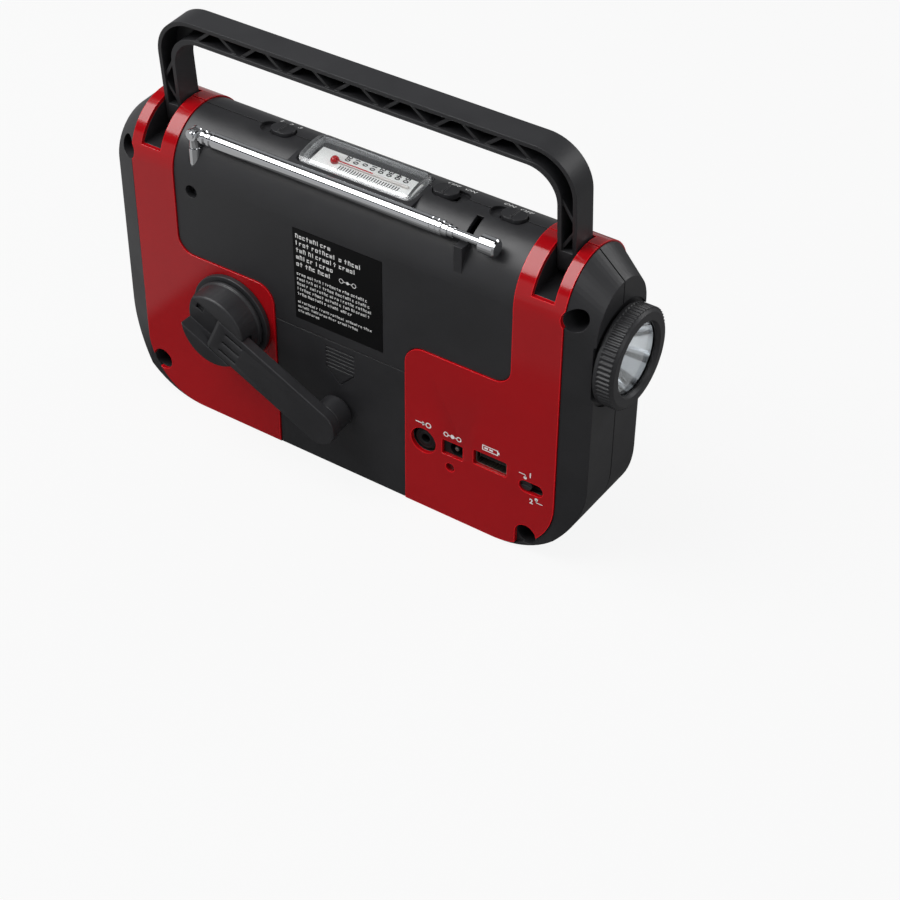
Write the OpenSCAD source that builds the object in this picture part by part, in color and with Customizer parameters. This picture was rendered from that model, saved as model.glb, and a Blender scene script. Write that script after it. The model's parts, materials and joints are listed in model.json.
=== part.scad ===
// Hand-cranked emergency radio with a carrying handle, folding crank, telescopic
// aerial, end lamp, thermometer, rear sockets and a battery door.
// Frame: origin under the middle of the case on the surface it stands on, +Z up,
// +X towards the lamp end, -Y the rear face with the crank, +Y the front face.

/* [Case] */
// Width over the two flat ends
body_w = 210; // [206:1:230]
// Depth from the rear face to the front face
body_d = 41; // [41:0.5:46]
// Height to the top of the rounded shoulder
body_h = 126; // [124:1:136]
// Wall thickness of the two case halves
wall = 2.2; // [2:0.1:2.6]
// Width of the groove where the two case halves meet
seam = 0.5; // [0.3:0.1:0.8]
// Depth of the groove where the two case halves meet
seam_depth = 0.8; // [0.5:0.1:0.9]
// Length of the sloping part at each end
end_bevel_w = 10.5; // [9:0.5:12]
// How far the flat ends stand in from the rear and front faces
end_inset = 4; // [3:0.5:5]
// How far the flat ends stop below the top
end_drop = 9.3; // [8:0.5:11]
// Radius of the two lower corners seen from the rear
corner_r = 36; // [32:1:40]

/* [Red trim] */
// How far the trim stands proud of the case
trim_proud = 0.6; // [0.4:0.1:0.9]
// How deep the trim is let into the case
trim_depth = 1; // [0.8:0.1:1.2]
// Gap round the edge of the trim
trim_gap = 0.2; // [0.1:0.05:0.4]
// Width of the bands that hold the handle slots
band_w = 20; // [19:0.5:24]
// Height of the wide lower part of the rear trims
trim_step_z = 72.2; // [71:0.5:80]
// Radius of the rounded corner of the rear trims
trim_corner_r = 8; // [5:0.5:10]
// Radius where the band runs into the wide part
trim_fillet_r = 7; // [4:0.5:9]
// Radius of the lower outer corner of the trims
trim_foot_r = 25.5; // [22:0.5:30]
// Height of the lower edge of the trims above the base
trim_foot_z = 0.5; // [0.4:0.1:1]

/* [Handle] */
// Width over the legs of the handle
handle_w = 178.2; // [177:0.1:179]
// Height from the pivot to the top of the bar
handle_rise = 44.5; // [44:0.5:56]
// Depth of the handle, front to rear
handle_d = 10.4; // [9:0.2:10.8]
// Thickness of each leg
handle_leg_t = 7.6; // [6.6:0.1:8]
// Thickness of the bar
handle_bar_t = 8.4; // [7.6:0.1:9]
// Outer corner radius of the handle
handle_corner_r = 17; // [12:0.5:20]
// Skin of the hollow handle section
handle_skin = 1.6; // [1.3:0.1:2]
// Thickness of the zigzag ribs in the handle
handle_rib_t = 1.2; // [1:0.1:1.6]
// Number of zigzag ribs in the bar
handle_ribs = 14; // [8:2:20]
// Radius of the trunnions that carry the handle
trunnion_r = 3; // [2.5:0.1:3.4]
// Height of the handle pivot below the top of the case
pivot_drop = 8; // [7.5:0.5:9]
// Angle by which the handle leans to the rear at rest
handle_lean = 4.3; // [2:0.1:6]
// Side gap between a leg and its slot
slot_gap = 0.7; // [0.4:0.1:0.9]
// Gap between the handle and the ends of its slot
slot_end_gap = 0.7; // [0.5:0.1:1.2]

/* [Crank] */
// Crank axis to the left of the middle
crank_x = -49.5; // [-51:0.5:-48]
// Height of the crank axis
crank_z = 52.4; // [51:0.2:54]
// Angle of the stored arm below the horizontal
crank_angle = 25.5; // [22:0.5:30]
// Radius of the crank hub
hub_r = 15.1; // [14:0.1:16]
// Distance from the rear face to the outer face of the hub
hub_reach = 14.3; // [13:0.1:16]
// Radius of the flanged bush under the hub
bush_r = 17.6; // [17:0.1:18]
// Thickness of the flange of the bush
bush_flange = 2.2; // [1.6:0.1:2.6]
// Gap between the bush and the hub
bush_gap = 0.3; // [0.2:0.05:0.5]
// Width of the crank arm
arm_w = 15.4; // [14:0.1:16]
// Thickness of the crank arm
arm_t = 4.3; // [3.8:0.1:4.6]
// Distance from the crank axis to the grip axis when stored
arm_reach = 54; // [50:0.5:56]
// Distance from the crank axis to the hinge pin of the arm
hinge_offset = 2; // [1:0.5:4]
// Radius of the hinge pin of the arm
hinge_pin_r = 1.2; // [1:0.1:1.4]
// Gap between the arm and the sides of its channel
arm_gap = 0.3; // [0.2:0.05:0.5]
// Radius of the grip
grip_r = 6.7; // [6:0.1:7.2]
// Distance of the stored grip from the rear face
grip_clear = 1.4; // [1.2:0.1:2]
// Radius of the pin inside the grip
grip_pin_r = 2; // [1.6:0.1:2.4]

/* [Crank gears] */
// Radius of the crank shaft
shaft_r = 4; // [3.5:0.1:4.4]
// Module of the gear teeth
gear_m = 0.75; // [0.7:0.01:0.78]
// Teeth of each wheel
wheel_teeth = 42; // [40:1:43]
// Teeth of each pinion
pinion_teeth = 14; // [13:1:15]
// Pressure angle of the teeth
pressure_angle = 25; // [22:1:27]
// Circumferential thinning of each tooth
backlash = 0.12; // [0.1:0.01:0.2]
// Face width of the wheels
wheel_t = 4.6; // [4:0.1:5]
// Direction from the crank to the idler
idler_dir = 200; // [196:1:206]
// Direction from the idler to the generator
generator_dir = 100; // [95:1:110]
// Radius of the post that carries the idler
idler_post_r = 2; // [1.6:0.1:2.3]
// Radius of the generator
generator_r = 12; // [10:0.5:13]
// Length of the generator
generator_l = 15; // [12:0.5:16]
// Thickness of the gear plate
plate_t = 2; // [1.6:0.1:2.4]

/* [Aerial] */
// Distance of the aerial swivel from the red band
aerial_in = 8.5; // [7.5:0.5:10]
// Angle of the aerial round the shoulder
aerial_angle = 47; // [46:0.5:50]
// Distance from the case surface to the aerial axis
aerial_off = 4.5; // [4.4:0.1:5]
// Radius of the swivel stud
stud_r = 2.5; // [2.3:0.1:2.8]
// Outer radius of the first tube
tube_r = 2.85; // [2.7:0.05:3]
// Step in radius from one tube to the next
tube_step = 0.42; // [0.4:0.01:0.44]
// Wall thickness of the tubes
tube_wall = 0.36; // [0.32:0.01:0.37]
// Length of the first tube
tube_l = 100; // [96:1:104]
// How far each section stands out of the one before it
tube_nose = 2.2; // [1.6:0.1:2.6]
// Radius of the tip cap
tip_r = 3.3; // [3:0.1:3.4]
// Length of the tip cap
tip_l = 6.8; // [6:0.1:7.5]
// Bare length of the rod behind the tip cap
rod_nose = 10.5; // [9:0.5:12]
// Radius of the rivet in the knuckle
rivet_r = 1; // [0.8:0.05:1.1]

/* [Lamp] */
// Height of the lamp axis
lamp_z = 87.5; // [86:0.5:88.5]
// Radius of the knurled ring
ring_r = 19; // [18.5:0.1:19.5]
// How far the ring stands out of the flat end
ring_reach = 7.9; // [7.5:0.1:9]
// Number of ribs round the ring
ring_ribs = 64; // [48:2:72]
// Height of the ribs
ring_rib_h = 0.5; // [0.4:0.05:0.7]
// Radius of the opening in the ring
ring_bore_r = 13.6; // [13:0.1:13.8]
// Radius of the collar that carries the ring
collar_r = 16.2; // [15.9:0.1:16.4]
// Depth of the reflector
reflector_d = 13; // [11:0.5:14]
// Thickness of the lens
lens_t = 1.4; // [1.2:0.1:1.8]

/* [Thermometer] */
// Length of the thermometer window
window_l = 48; // [46:0.5:50]
// Width of the window round the shoulder
window_w = 16.8; // [15:0.2:17.4]
// Angle of the window round the shoulder
window_angle = 82; // [80:0.5:84]
// How far the window stands proud of the shoulder
window_proud = 1.8; // [1.4:0.1:2.2]
// Depth of the window floor below the shoulder
window_sink = 2.9; // [2.6:0.1:3.2]
// Skin of the clear window
window_skin = 1.3; // [1:0.1:1.5]
// Radius of the bulb
bulb_r = 1.7; // [1.4:0.1:2]
// Radius of the capillary
capillary_r = 0.5; // [0.4:0.05:0.7]

/* [Top switches] */
// Band switch to the left of the middle
band_switch_x = -38.4; // [-40:0.1:-37]
// Power switch to the right of the middle
power_switch_x = 32.8; // [32:0.1:34]
// Share of the free run beyond the power switch that lies before the lamp switch
lamp_switch_share = 0.517; // [0.45:0.001:0.58]
// Length of a switch cap
cap_l = 9.6; // [9:0.1:10.5]
// Width of a switch cap
cap_w = 7; // [6:0.1:7.6]
// How far a switch cap stands above the case
cap_rise = 1.7; // [1.3:0.1:2.2]
// Travel of a switch
switch_travel = 4.2; // [3.6:0.1:4.6]

/* [Battery door] */
// Width of the battery door
door_w = 58.8; // [58.4:0.1:60]
// Height of the battery door
door_h = 58.8; // [58.4:0.1:60]
// Thickness of the battery door
door_t = 2; // [1.6:0.1:2]
// Gap round the battery door
door_gap = 0.3; // [0.2:0.05:0.4]
// Reach of the door tongues behind the case wall
tongue_reach = 1.6; // [1.2:0.1:2]
// Diameter of a cell
cell_d = 14.2; // [13.8:0.1:14.4]
// Length of a cell
cell_l = 50.2; // [49:0.1:50.4]
// Spacing of the cells
cell_pitch = 16; // [15.5:0.1:16.5]

/* [Sockets] */
// Height of the middle of the round line socket
line_z = 31.7; // [31:0.1:33]
// Distance of the line socket from the inner edge of the panel
line_in = 8.2; // [7.3:0.1:9]
// Radius of the recess round the line socket
line_recess_r = 5.5; // [5:0.1:5.8]
// Radius of the bore for a 3.5 mm plug
line_bore_r = 1.8; // [1.76:0.01:1.85]
// Depth of the bore for the plug
line_bore_l = 14; // [13:0.5:15]
// Share of the free run of the panel that lies before the power socket
dc_share = 0.218; // [0.2:0.001:0.25]
// Width of the power socket opening
dc_w = 9.1; // [8.6:0.1:9.4]
// Height of the power socket opening
dc_h = 6.6; // [6.4:0.1:7]
// Share of the free run of the panel that lies before the charging socket
usb_share = 0.361; // [0.3:0.001:0.4]
// Height of the middle of the charging socket
usb_z = 34.4; // [34:0.1:35]
// Width of the charging socket opening
usb_w = 14.4; // [14:0.1:14.8]
// Height of the charging socket opening
usb_h = 6.6; // [6.5:0.1:7]
// Distance of the battery selector slot from the outer edge of the panel
selector_in = 9.9; // [9.5:0.1:10.5]
// Length of the selector slot
selector_l = 10.2; // [9.6:0.1:10.6]
// Width of the selector slot
selector_w = 5.2; // [5:0.1:5.6]
// Charging light to the left of the middle of the power socket
led_off = 0.9; // [0.2:0.1:1.7]
// Height of the charging light
led_z = 24.4; // [24:0.1:24.5]
// Radius of the charging light
led_r = 1.8; // [1.5:0.1:2]

/* [Rating label] */
// Side of the square label
label_w = 39.4; // [36:0.2:42]
// Height of the lower edge of the label
label_z = 63.4; // [62.5:0.2:64]

/* [Front face] */
// Speaker to the left of the middle, seen from the rear
speaker_x = -22; // [-23:0.5:-21]
// Height of the speaker
speaker_z = 62; // [60:0.5:64]
// Radius of the speaker
speaker_r = 28.5; // [27:0.5:29]
// Depth of the speaker
speaker_d = 16; // [14:0.5:17]
// Width of the bars of the grille
grille_bar = 2.2; // [1.8:0.1:2.6]
// Spacing of the bars of the grille
grille_pitch = 5; // [4.6:0.1:5.6]
// Tuning knob to the right of the middle
tuning_x = 38; // [37:0.5:39]
// Height of the tuning knob
tuning_z = 76; // [75:0.5:77]
// Radius of the tuning knob
tuning_r = 15; // [13:0.5:16]
// Radius of the dial plate round the tuning knob
dial_r = 25; // [23:0.5:26]
// Distance of the volume knob from the red band
volume_in = 12.5; // [11.5:0.5:13.5]
// Height of the volume knob
volume_z = 42; // [41:0.5:43]
// Radius of the volume knob
volume_r = 8.5; // [7.5:0.1:9]
// How far the knobs stand out of the front face
knob_reach = 9; // [7:0.5:11]
// Width of the lantern lens
lantern_w = 40; // [36:0.5:42]
// Height of the lantern lens
lantern_h = 18; // [15:0.5:19]
// Lantern to the right of the middle
lantern_x = 28; // [27:0.5:29]
// Height of the lantern
lantern_z = 25; // [24:0.5:26]

/* [Fixings and clearances] */
// Upper screw wells in from the flat ends
well_in = 7.5; // [7:0.1:8]
// Upper screw wells below the top
well_drop = 17.7; // [17:0.1:18.5]
// Lower right screw well in from the flat end
right_well_in = 22; // [21:0.5:23]
// Height of the lower right screw well
right_well_z = 8.2; // [8:0.1:9]
// Lower left screw well in from the flat end
left_well_in = 17; // [16.5:0.5:18]
// Height of the lower left screw well
left_well_z = 15.5; // [15:0.1:16]
// Radius of the screw wells in the corners
well_r = 4.2; // [3.8:0.1:4.4]
// Radius of a case screw
screw_r = 1.5; // [1.3:0.1:1.6]
// Radius of a case screw head
screw_head_r = 2.9; // [2.6:0.1:3.1]
// Height of a screw head
screw_head_h = 2; // [1.6:0.1:2.4]
// Radial clearance of every turning or sliding fit
fit = 0.05; // [0.04:0.005:0.08]
// Gap between pieces that only pass each other
clear = 0.3; // [0.25:0.05:0.4]
// Gap between a loose insert and its pocket
seat = 0.1; // [0.05:0.05:0.15]
// Thickness of the circuit boards
board_t = 1.6; // [1.2:0.1:1.6]
// Thickness of inner ribs and bosses
rib = 1.6; // [1.4:0.1:1.8]

/* [Hidden] */
$fn = 96;
black = "#2b2b2d";
red = "#9c1a20";
chrome = "#d8dade";
steel = "#b9bcc0";
board_green = "#1f5a3a";
clear_plastic = [0.9, 0.94, 0.97, 0.4];
// Length that passes right through the case in any direction
through = 2 * body_w;
// Thin slice at each end of a tapered end cap
slice = 0.01;
// Flats and levels of the case
half_d = body_d / 2;
half_w = body_w / 2;
rear_y = -half_d;
front_y = half_d;
rear_in = rear_y + wall;
front_in = front_y - wall;
shoulder_z = body_h - half_d;
edge_x = half_w - end_bevel_w;
end_r = half_d - end_inset;
end_top = body_h - end_drop;
cavity_x = edge_x - wall;
trim_x = edge_x - trim_gap;
band_x = edge_x - band_w;
panel_x = door_w / 2 + door_gap;
aerial_x = aerial_in - band_x;
volume_x = band_x - volume_in;
// Top switches: length of a recess, way of travel and place of each cap
recess_l = cap_l + switch_travel + 2 * clear + 0.4;
switch_way = [-1, 1, -1];
power_end = power_switch_x + (switch_travel + recess_l) / 2;
lamp_recess_x = power_end + lamp_switch_share * (band_x - power_end - recess_l) + recess_l / 2;
switch_x = [band_switch_x, power_switch_x, lamp_recess_x + switch_travel / 2];
// Row of sockets on the right panel
line_x = panel_x + line_in;
selector_x = edge_x - selector_in;
row_free = selector_x - selector_l / 2 - line_x - line_recess_r - dc_w - usb_w;
dc_x = line_x + line_recess_r + dc_share * row_free + dc_w / 2;
usb_x = dc_x + dc_w / 2 + usb_share * row_free + usb_w / 2;
led_x = dc_x - led_off;
// Handle pivot and slots
pivot_z = body_h - pivot_drop;
slot_out = handle_w / 2 + slot_gap;
slot_in = handle_w / 2 - handle_leg_t - slot_gap;
slot_front = handle_d / 2 + slot_end_gap;
slot_floor = pivot_z - handle_d / 2 - slot_end_gap / 2;
trunnion_l = slot_gap + rib;
// Case screws: x, z of each well, and the small one by the aerial
corner_wells = [
    [half_w - well_in, body_h - well_drop], [well_in - half_w, body_h - well_drop],
    [half_w - right_well_in, right_well_z], [left_well_in - half_w, left_well_z]
];
small_well = [aerial_x - 0.6, body_h - 25.5];
small_well_r = screw_head_r - 0.3;
screw_seat_y = -6;
small_seat_y = rear_y + 4.2;
screw_end_y = 9;
// Crank levels along Y
hub_y = rear_y - hub_reach;
trim_y = rear_y - trim_proud;
bush_y = trim_y - bush_flange;
hub_back = bush_y - bush_gap;
arm_y = hub_y + arm_t / 2;
channel_y = arm_y + arm_t / 2 + 1.4;
grip_end_y = rear_y - grip_clear;
grip_back = hub_y + arm_t + clear;
// Gears
wheel_r = gear_m * wheel_teeth / 2;
pinion_r = gear_m * pinion_teeth / 2;
gear_gap = wheel_r + pinion_r;
idler = [crank_x + gear_gap * cos(idler_dir), crank_z + gear_gap * sin(idler_dir)];
motor = [idler[0] + gear_gap * cos(generator_dir), idler[1] + gear_gap * sin(generator_dir)];
gear_y = rear_in + 2.6;
idler_y = gear_y + wheel_t + clear;
plate_y = idler_y + wheel_t + clear;
post_r = 2.8;
post_side = generator_r + 2;
plate_posts = [
    [crank_x + 11.5, crank_z - 21], [crank_x + 11.5, crank_z + 21],
    [motor[0] - post_side, idler[1] - 12], [motor[0] - post_side, motor[1] + 12]
];
plate_screw_r = 1;
// Aerial line, held on the shoulder
aerial_y = -(half_d + aerial_off) * cos(aerial_angle);
aerial_z = shoulder_z + (half_d + aerial_off) * sin(aerial_angle);
stud_foot_z = aerial_z - 18;
fork_gap = 2;
tongue_t = fork_gap - 2 * clear / 3;
knuckle_r = stud_r - 0.3;
ferrule_x = aerial_x + stud_r + 1.6;
stud_neck_z = aerial_z - 5.2;
tube_x0 = ferrule_x + 5.4;
tube_x1 = tube_x0 + tube_l;
bore_x = tube_x0 + 4;
clip_x = tube_x1 + 2 * tube_nose + 1.4;
clip_t = 3.4;
tip_x0 = tube_x1 + 2 * tube_nose + rod_nose;
// Lamp levels along X
ring_back = half_w + 0.3;
ring_face = half_w + ring_reach;
lens_x = ring_face - 3.4;
reflector_back = lens_x - reflector_d;
lamp_bore_r = collar_r - 1.8;
reflector_r = lamp_bore_r - clear;
led_board_t = 1.6;
dish_depth = 0.9;
dish_r = ring_r + 1.1;
// Battery bay
bay_x = cell_l / 2 + 1;
bay_front = rear_in + cell_d + 1.2;
bay_z0 = wall + 2.4;
bay_z1 = bay_z0 + 3 * cell_pitch + 1;
cell_y = rear_in + 0.5 + cell_d / 2;
door_back = rear_y + door_t;
// Sockets
socket_floor = line_z - 3.7;
jack_depth = 13;
dc_z = socket_floor + 5.05;
selector_z = socket_floor + 3;
selector_travel = selector_l - selector_w;
// Front pieces
board_y = 2.4;
grille_r = speaker_r + 2.5;
grille_t = 1.4;
speaker_back = front_in - speaker_d;
knob_face = front_y + knob_reach;
knob_back = front_y + 0.6;
tuning_shaft_r = 3;
volume_shaft_r = 3;
cap_z = body_h - 1.2;
switch_top = body_h - wall - 0.7;
switch_body_h = 5;
stem_l = 1.6;
stem_w = 2.4;

// Helpers

// Box between two opposite corners
module block(low, high)
    translate(low)
    cube(high - low);

// Outline in Y and Z, run along X
module along_x(x0, x1)
    translate([x0, 0, 0])
    rotate([90, 0, 90])
    linear_extrude(x1 - x0)
    children();

// Outline in X and Z, run along Y
module along_y(y0, y1)
    translate([0, y1, 0])
    rotate([90, 0, 0])
    linear_extrude(y1 - y0)
    children();

// Round bar along X
module rod_x(x0, x1, r, y, z)
    translate([x0, y, z])
    rotate([0, 90, 0])
    cylinder(h = x1 - x0, r = r);

// Round bar along Y
module rod_y(y0, y1, r, x, z)
    translate([x, y0, z])
    rotate([-90, 0, 0])
    cylinder(h = y1 - y0, r = r);

// Shape turned round a line along X; its outline is radius against x
module turned_x(y, z)
    translate([0, y, z])
    rotate([0, 90, 0])
    rotate_extrude()
    children();

// Shape turned round a line along Y; its outline is radius against y
module turned_y(x, z)
    translate([x, 0, z])
    rotate([-90, 0, 0])
    rotate_extrude()
    children();

// Rectangle with round corners about its middle
module rounded(w, h, r) {
    square([w - 2 * r, h], center = true);
    square([w, h - 2 * r], center = true);
    for (sx = [-1, 1], sy = [-1, 1])
        translate([sx * (w / 2 - r), sy * (h / 2 - r)])
        circle(r);
}

// Slot with two round ends about its middle
module oblong(l, w) {
    square([l - w, w], center = true);
    for (s = [-1, 1])
        translate([s * (l - w) / 2, 0])
        circle(w / 2);
}

// Places children on both ends of the case
module both_ends()
    for (m = [0, 1])
        mirror([m, 0, 0])
        children();

// Frame of the thermometer: X along the top, Y round the shoulder, Z outwards
module on_shoulder()
    translate([0, 0, shoulder_z])
    rotate([90 - window_angle, 0, 0])
    children();

// Frame of the crank: X along the stored arm
module at_crank()
    translate([crank_x, 0, crank_z])
    rotate([0, crank_angle, 0])
    children();

// Involute of a point, in degrees
function involute(base_r, r) =
    let (t = sqrt(max(0, pow(r / base_r, 2) - 1)))
    t * 180 / PI - atan(t);

// Half of the angle that a tooth covers at a radius
function tooth_angle(teeth, r) =
    let (
        pitch_r = gear_m * teeth / 2,
        base_r = pitch_r * cos(pressure_angle),
        thinning = backlash / 2 / pitch_r * 180 / PI
    )
    90 / teeth - thinning + involute(base_r, pitch_r) - involute(base_r, max(r, base_r));

// Gear outline with one tooth on the X axis
module gear(teeth) {
    pitch_r = gear_m * teeth / 2;
    root_r = pitch_r - 1.2 * gear_m;
    tip_r = pitch_r + 0.9 * gear_m;
    steps = 5;
    radii = [for (i = [0:steps]) root_r + (tip_r - root_r) * i / steps];
    polygon([
        for (k = [0:teeth - 1], i = [0:2 * steps + 1])
        let (
            rising = i <= steps,
            r = radii[rising ? i : 2 * steps + 1 - i],
            a = 360 * k / teeth + (rising ? -1 : 1) * tooth_angle(teeth, r)
        )
        r * [cos(a), sin(a)]
    ]);
}

// Case outlines

// Slab with a fully rounded top, grown by g
module case_profile(g = 0, sides = 96) {
    foot = max(0, -g);
    translate([-half_d - g, foot])
    square([body_d + 2 * g, shoulder_z - foot]);
    translate([0, shoulder_z])
    circle(half_d + g, $fn = sides);
}

// Smaller profile of the flat ends
module end_profile() {
    translate([-end_r, 0])
    square([2 * end_r, end_top - end_r]);
    translate([0, end_top - end_r])
    circle(end_r, $fn = 64);
}

// Rear view of the case with its round lower corners, drawn in by inset
module case_outline(inset = 0) {
    r = corner_r - inset;
    translate([-half_w + inset, corner_r])
    square([body_w - 2 * inset, body_h]);
    translate([-half_w + corner_r, inset])
    square([body_w - 2 * corner_r, body_h]);
    for (s = [-1, 1])
        translate([s * (half_w - corner_r), corner_r])
        circle(r);
}

// Whole outer form of the case
module body_skin()
    intersection() {
        union() {
            along_x(-edge_x, edge_x) case_profile();
            both_ends()
            hull() {
                along_x(edge_x - slice, edge_x) case_profile(sides = 64);
                along_x(half_w - slice, half_w) end_profile();
            }
        }
        along_y(-through, through) case_outline();
    }

// Outer form drawn in by half of the wall, which bounds the bosses and ribs inside
module inner_skin()
    intersection() {
        union() {
            along_x(-edge_x, edge_x) case_profile(-wall / 2);
            both_ends()
            hull() {
                along_x(edge_x - slice, edge_x) case_profile(-wall / 2, 64);
                along_x(half_w - wall / 2 - slice, half_w - wall / 2)
                offset(delta = -wall / 2) end_profile();
            }
        }
        along_y(-through, through) case_outline(wall / 2);
    }

// Hollow inside the case
module cavity()
    intersection() {
        union() {
            along_x(-cavity_x, cavity_x) case_profile(-wall);
            both_ends()
            block([cavity_x - 1, -end_r + wall, wall], [half_w - wall, end_r - wall, end_top - end_r + 2]);
        }
        along_y(-through, through) case_outline(wall);
    }

// Half of space behind the joint of the case halves, or in front of it
module rear_half() block([-through, -through, -through], [through, 0, through]);
module front_half() block([-through, 0, -through], [through, through, through]);

// Groove round the ends and the top where the halves meet
module seam_groove()
    difference() {
        block([-through, -seam / 2, wall], [through, seam / 2, through]);
        along_y(-seam, seam)
        intersection() {
            case_outline(seam_depth);
            polygon([
                [-half_w, 0], [half_w, 0], [half_w, end_top - seam_depth],
                [edge_x, body_h - seam_depth], [-edge_x, body_h - seam_depth],
                [-half_w, end_top - seam_depth]
            ]);
        }
    }

// Trim outlines, drawn for the right side and grown by g

module trim_ground(g)
    intersection() {
        children();
        union() {
            square([trim_x - trim_foot_r, through]);
            translate([0, trim_foot_z + trim_foot_r])
            square([trim_x + g, through]);
            translate([trim_x - trim_foot_r, trim_foot_z + trim_foot_r])
            circle(trim_foot_r + g);
        }
        translate([0, trim_foot_z - g])
        square(through);
    }

module band_outline(g)
    translate([band_x - g, 0])
    square([band_w + 2 * g, through]);

module rear_trim_outline(wells, g = 0)
    difference() {
        trim_ground(g)
        union() {
            band_outline(g);
            translate([panel_x - g, 0])
            square([half_w, trim_step_z - trim_corner_r]);
            translate([panel_x + trim_corner_r, 0])
            square([half_w, trim_step_z + g]);
            translate([panel_x + trim_corner_r, trim_step_z - trim_corner_r])
            circle(trim_corner_r + g);
            difference() {
                translate([band_x - trim_fillet_r, trim_step_z - 1])
                square(trim_fillet_r + 1);
                translate([band_x - trim_fillet_r, trim_step_z + trim_fillet_r])
                circle(trim_fillet_r - g);
            }
        }
        slot_outline();
        for (w = wells)
            translate(w) {
                circle(well_r + 0.3 - g);
                if (w[1] < 2 * well_r + 1)
                    translate([g - well_r - 0.3, -through])
                    square([2 * (well_r + 0.3 - g), through]);
            }
    }

module front_trim_outline(g = 0)
    trim_ground(g) band_outline(g);

module slot_outline()
    translate([slot_in, slot_floor])
    square([slot_out - slot_in, through]);

// Layer of the case skin that a trim fills, grown by g
module trim_layer(g = 0)
    difference() {
        along_x(-edge_x, edge_x) case_profile(trim_proud + g);
        along_x(-through, through) {
            case_profile(-trim_depth - g);
            translate([-half_d + trim_depth + g, -1])
            square([body_d - 2 * trim_depth - 2 * g, shoulder_z]);
        }
    }

right_wells = [corner_wells[0], corner_wells[2]];
left_wells = [[-corner_wells[1][0], corner_wells[1][1]], [-corner_wells[3][0], corner_wells[3][1]]];

module rear_trim(wells)
    intersection() {
        trim_layer();
        along_y(-through, -seam / 2) rear_trim_outline(wells);
    }

module front_trim()
    difference() {
        intersection() {
            trim_layer();
            along_y(seam / 2, through) front_trim_outline();
        }
        handle_slot();
    }

// Pockets in the case that the trims lie in
module rear_trim_pocket()
    intersection() {
        trim_layer(seat);
        along_y(-through, 1) rear_trim_outline([], trim_gap);
    }

module front_trim_pocket()
    intersection() {
        trim_layer(seat);
        along_y(-1, through) front_trim_outline(trim_gap);
    }

// Shared cuts of the two case halves

module handle_slot()
    block([slot_in, -through, slot_floor], [slot_out, slot_front, through]);

module handle_slots()
    both_ends() {
        handle_slot();
        rod_x(slot_in - rib - fit, slot_out + rib + fit, trunnion_r + fit, 0, pivot_z);
    }

module handle_boxes()
    both_ends()
    block(
        [slot_in - rib, rear_y, slot_floor - rib],
        [slot_out + rib, slot_front + rib, body_h]
    );

module window_pocket()
    on_shoulder()
    translate([0, 0, half_d - window_sink])
    linear_extrude(through)
    rounded(window_l + 2 * seat + 2.4, window_w + 2 * seat, 2.6);

module window_floor()
    on_shoulder()
    translate([0, 0, half_d - window_sink - rib])
    linear_extrude(window_sink + rib)
    rounded(window_l + 2 * rib + 2.4, window_w + 2 * rib, 2.6);

// Flat shelf that the window stands on, between it and the aerial
module window_shelf()
    difference() {
        on_shoulder()
        block(
            [-window_l / 2 - shelf_over, -window_w / 2 - 2.2, half_d - 6],
            [window_l / 2 + shelf_over, 0, half_d - 0.15]
        );
        along_x(-through, through) case_profile(-wall / 2);
    }

shelf_over = 2.8;

module switch_recesses()
    for (i = [0:2])
        translate([switch_x[i] + switch_way[i] * switch_travel / 2, 0, 0]) {
            translate([0, 0, cap_z - clear])
            linear_extrude(through)
            oblong(recess_l, cap_w + 2 * clear);
            translate([0, 0, switch_top - 1])
            linear_extrude(through)
            square([stem_l + switch_travel + 2 * clear, stem_w + 2 * clear], center = true);
        }

module lamp_bore() {
    rod_x(cavity_x - 6, through, lamp_bore_r, 0, lamp_z);
    difference() {
        rod_x(half_w - dish_depth, through, dish_r, 0, lamp_z);
        rod_x(half_w - dish_depth - 1, collar_end, collar_r, 0, lamp_z);
    }
}

collar_end = half_w + 3;

module lamp_collar()
    rod_x(half_w - dish_depth - 1, collar_end, collar_r, 0, lamp_z);

module well(place, r, seat_y) {
    rod_y(-through, seat_y, r, place[0], place[1]);
    rod_y(seat_y - 1, 1, screw_r + fit + 0.2, place[0], place[1]);
}

// Case

module rear_inside()
    intersection() {
        union() {
            handle_boxes();
            window_floor();
            for (w = corner_wells)
                rod_y(rear_y, 0, well_r + rib, w[0], w[1]);
            rod_y(rear_y, 0, small_well_r + rib, small_well[0], small_well[1]);
            block(
                [aerial_x - stud_r - 2.4, rear_y, stud_foot_z - rib],
                [aerial_x + stud_r + 2.4, aerial_y + stud_r + 2.4, body_h]
            );
            block([-bay_x - rib, rear_in - 0.5, wall - 0.5], [bay_x + rib, bay_front + rib, bay_z1 + rib]);
            for (p = plate_posts)
                rod_y(rear_y + 0.5, plate_y, post_r, p[0], p[1]);
            for (x = [line_x - 5.4, selector_x + 4.6])
                block([x - rib / 2, rear_y + 0.5, socket_floor - board_t - 6],
                    [x + rib / 2, rear_in + 9, socket_floor - board_t]);
        }
        inner_skin();
    }

module socket_openings() {
    rod_y(-through, rear_in + 1, line_recess_r, line_x, line_z);
    along_y(-through, rear_in + 1)
    translate([dc_x, dc_z])
    square([dc_w, dc_h], center = true);
    along_y(-through, rear_in + 1)
    translate([usb_x, usb_z])
    rounded(usb_w, usb_h, 0.8);
    along_y(-through, rear_in + 1)
    translate([selector_x, selector_z])
    oblong(selector_l, selector_w);
    rod_y(-through, rear_in + 1, led_r + seat, led_x, led_z);
}

module door_opening() {
    block([-panel_x, -through, -through], [panel_x, rear_in + 0.05, door_h + door_gap]);
    block([-bay_x, -through, bay_z0], [bay_x, bay_front, bay_z1]);
    both_ends()
    block(
        [bay_x + rib + clear / 2, rear_in - 0.4, -1],
        [door_w / 2 + tongue_reach + clear, rear_in + 1.8 + clear, wall + 1]
    );
}

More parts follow.
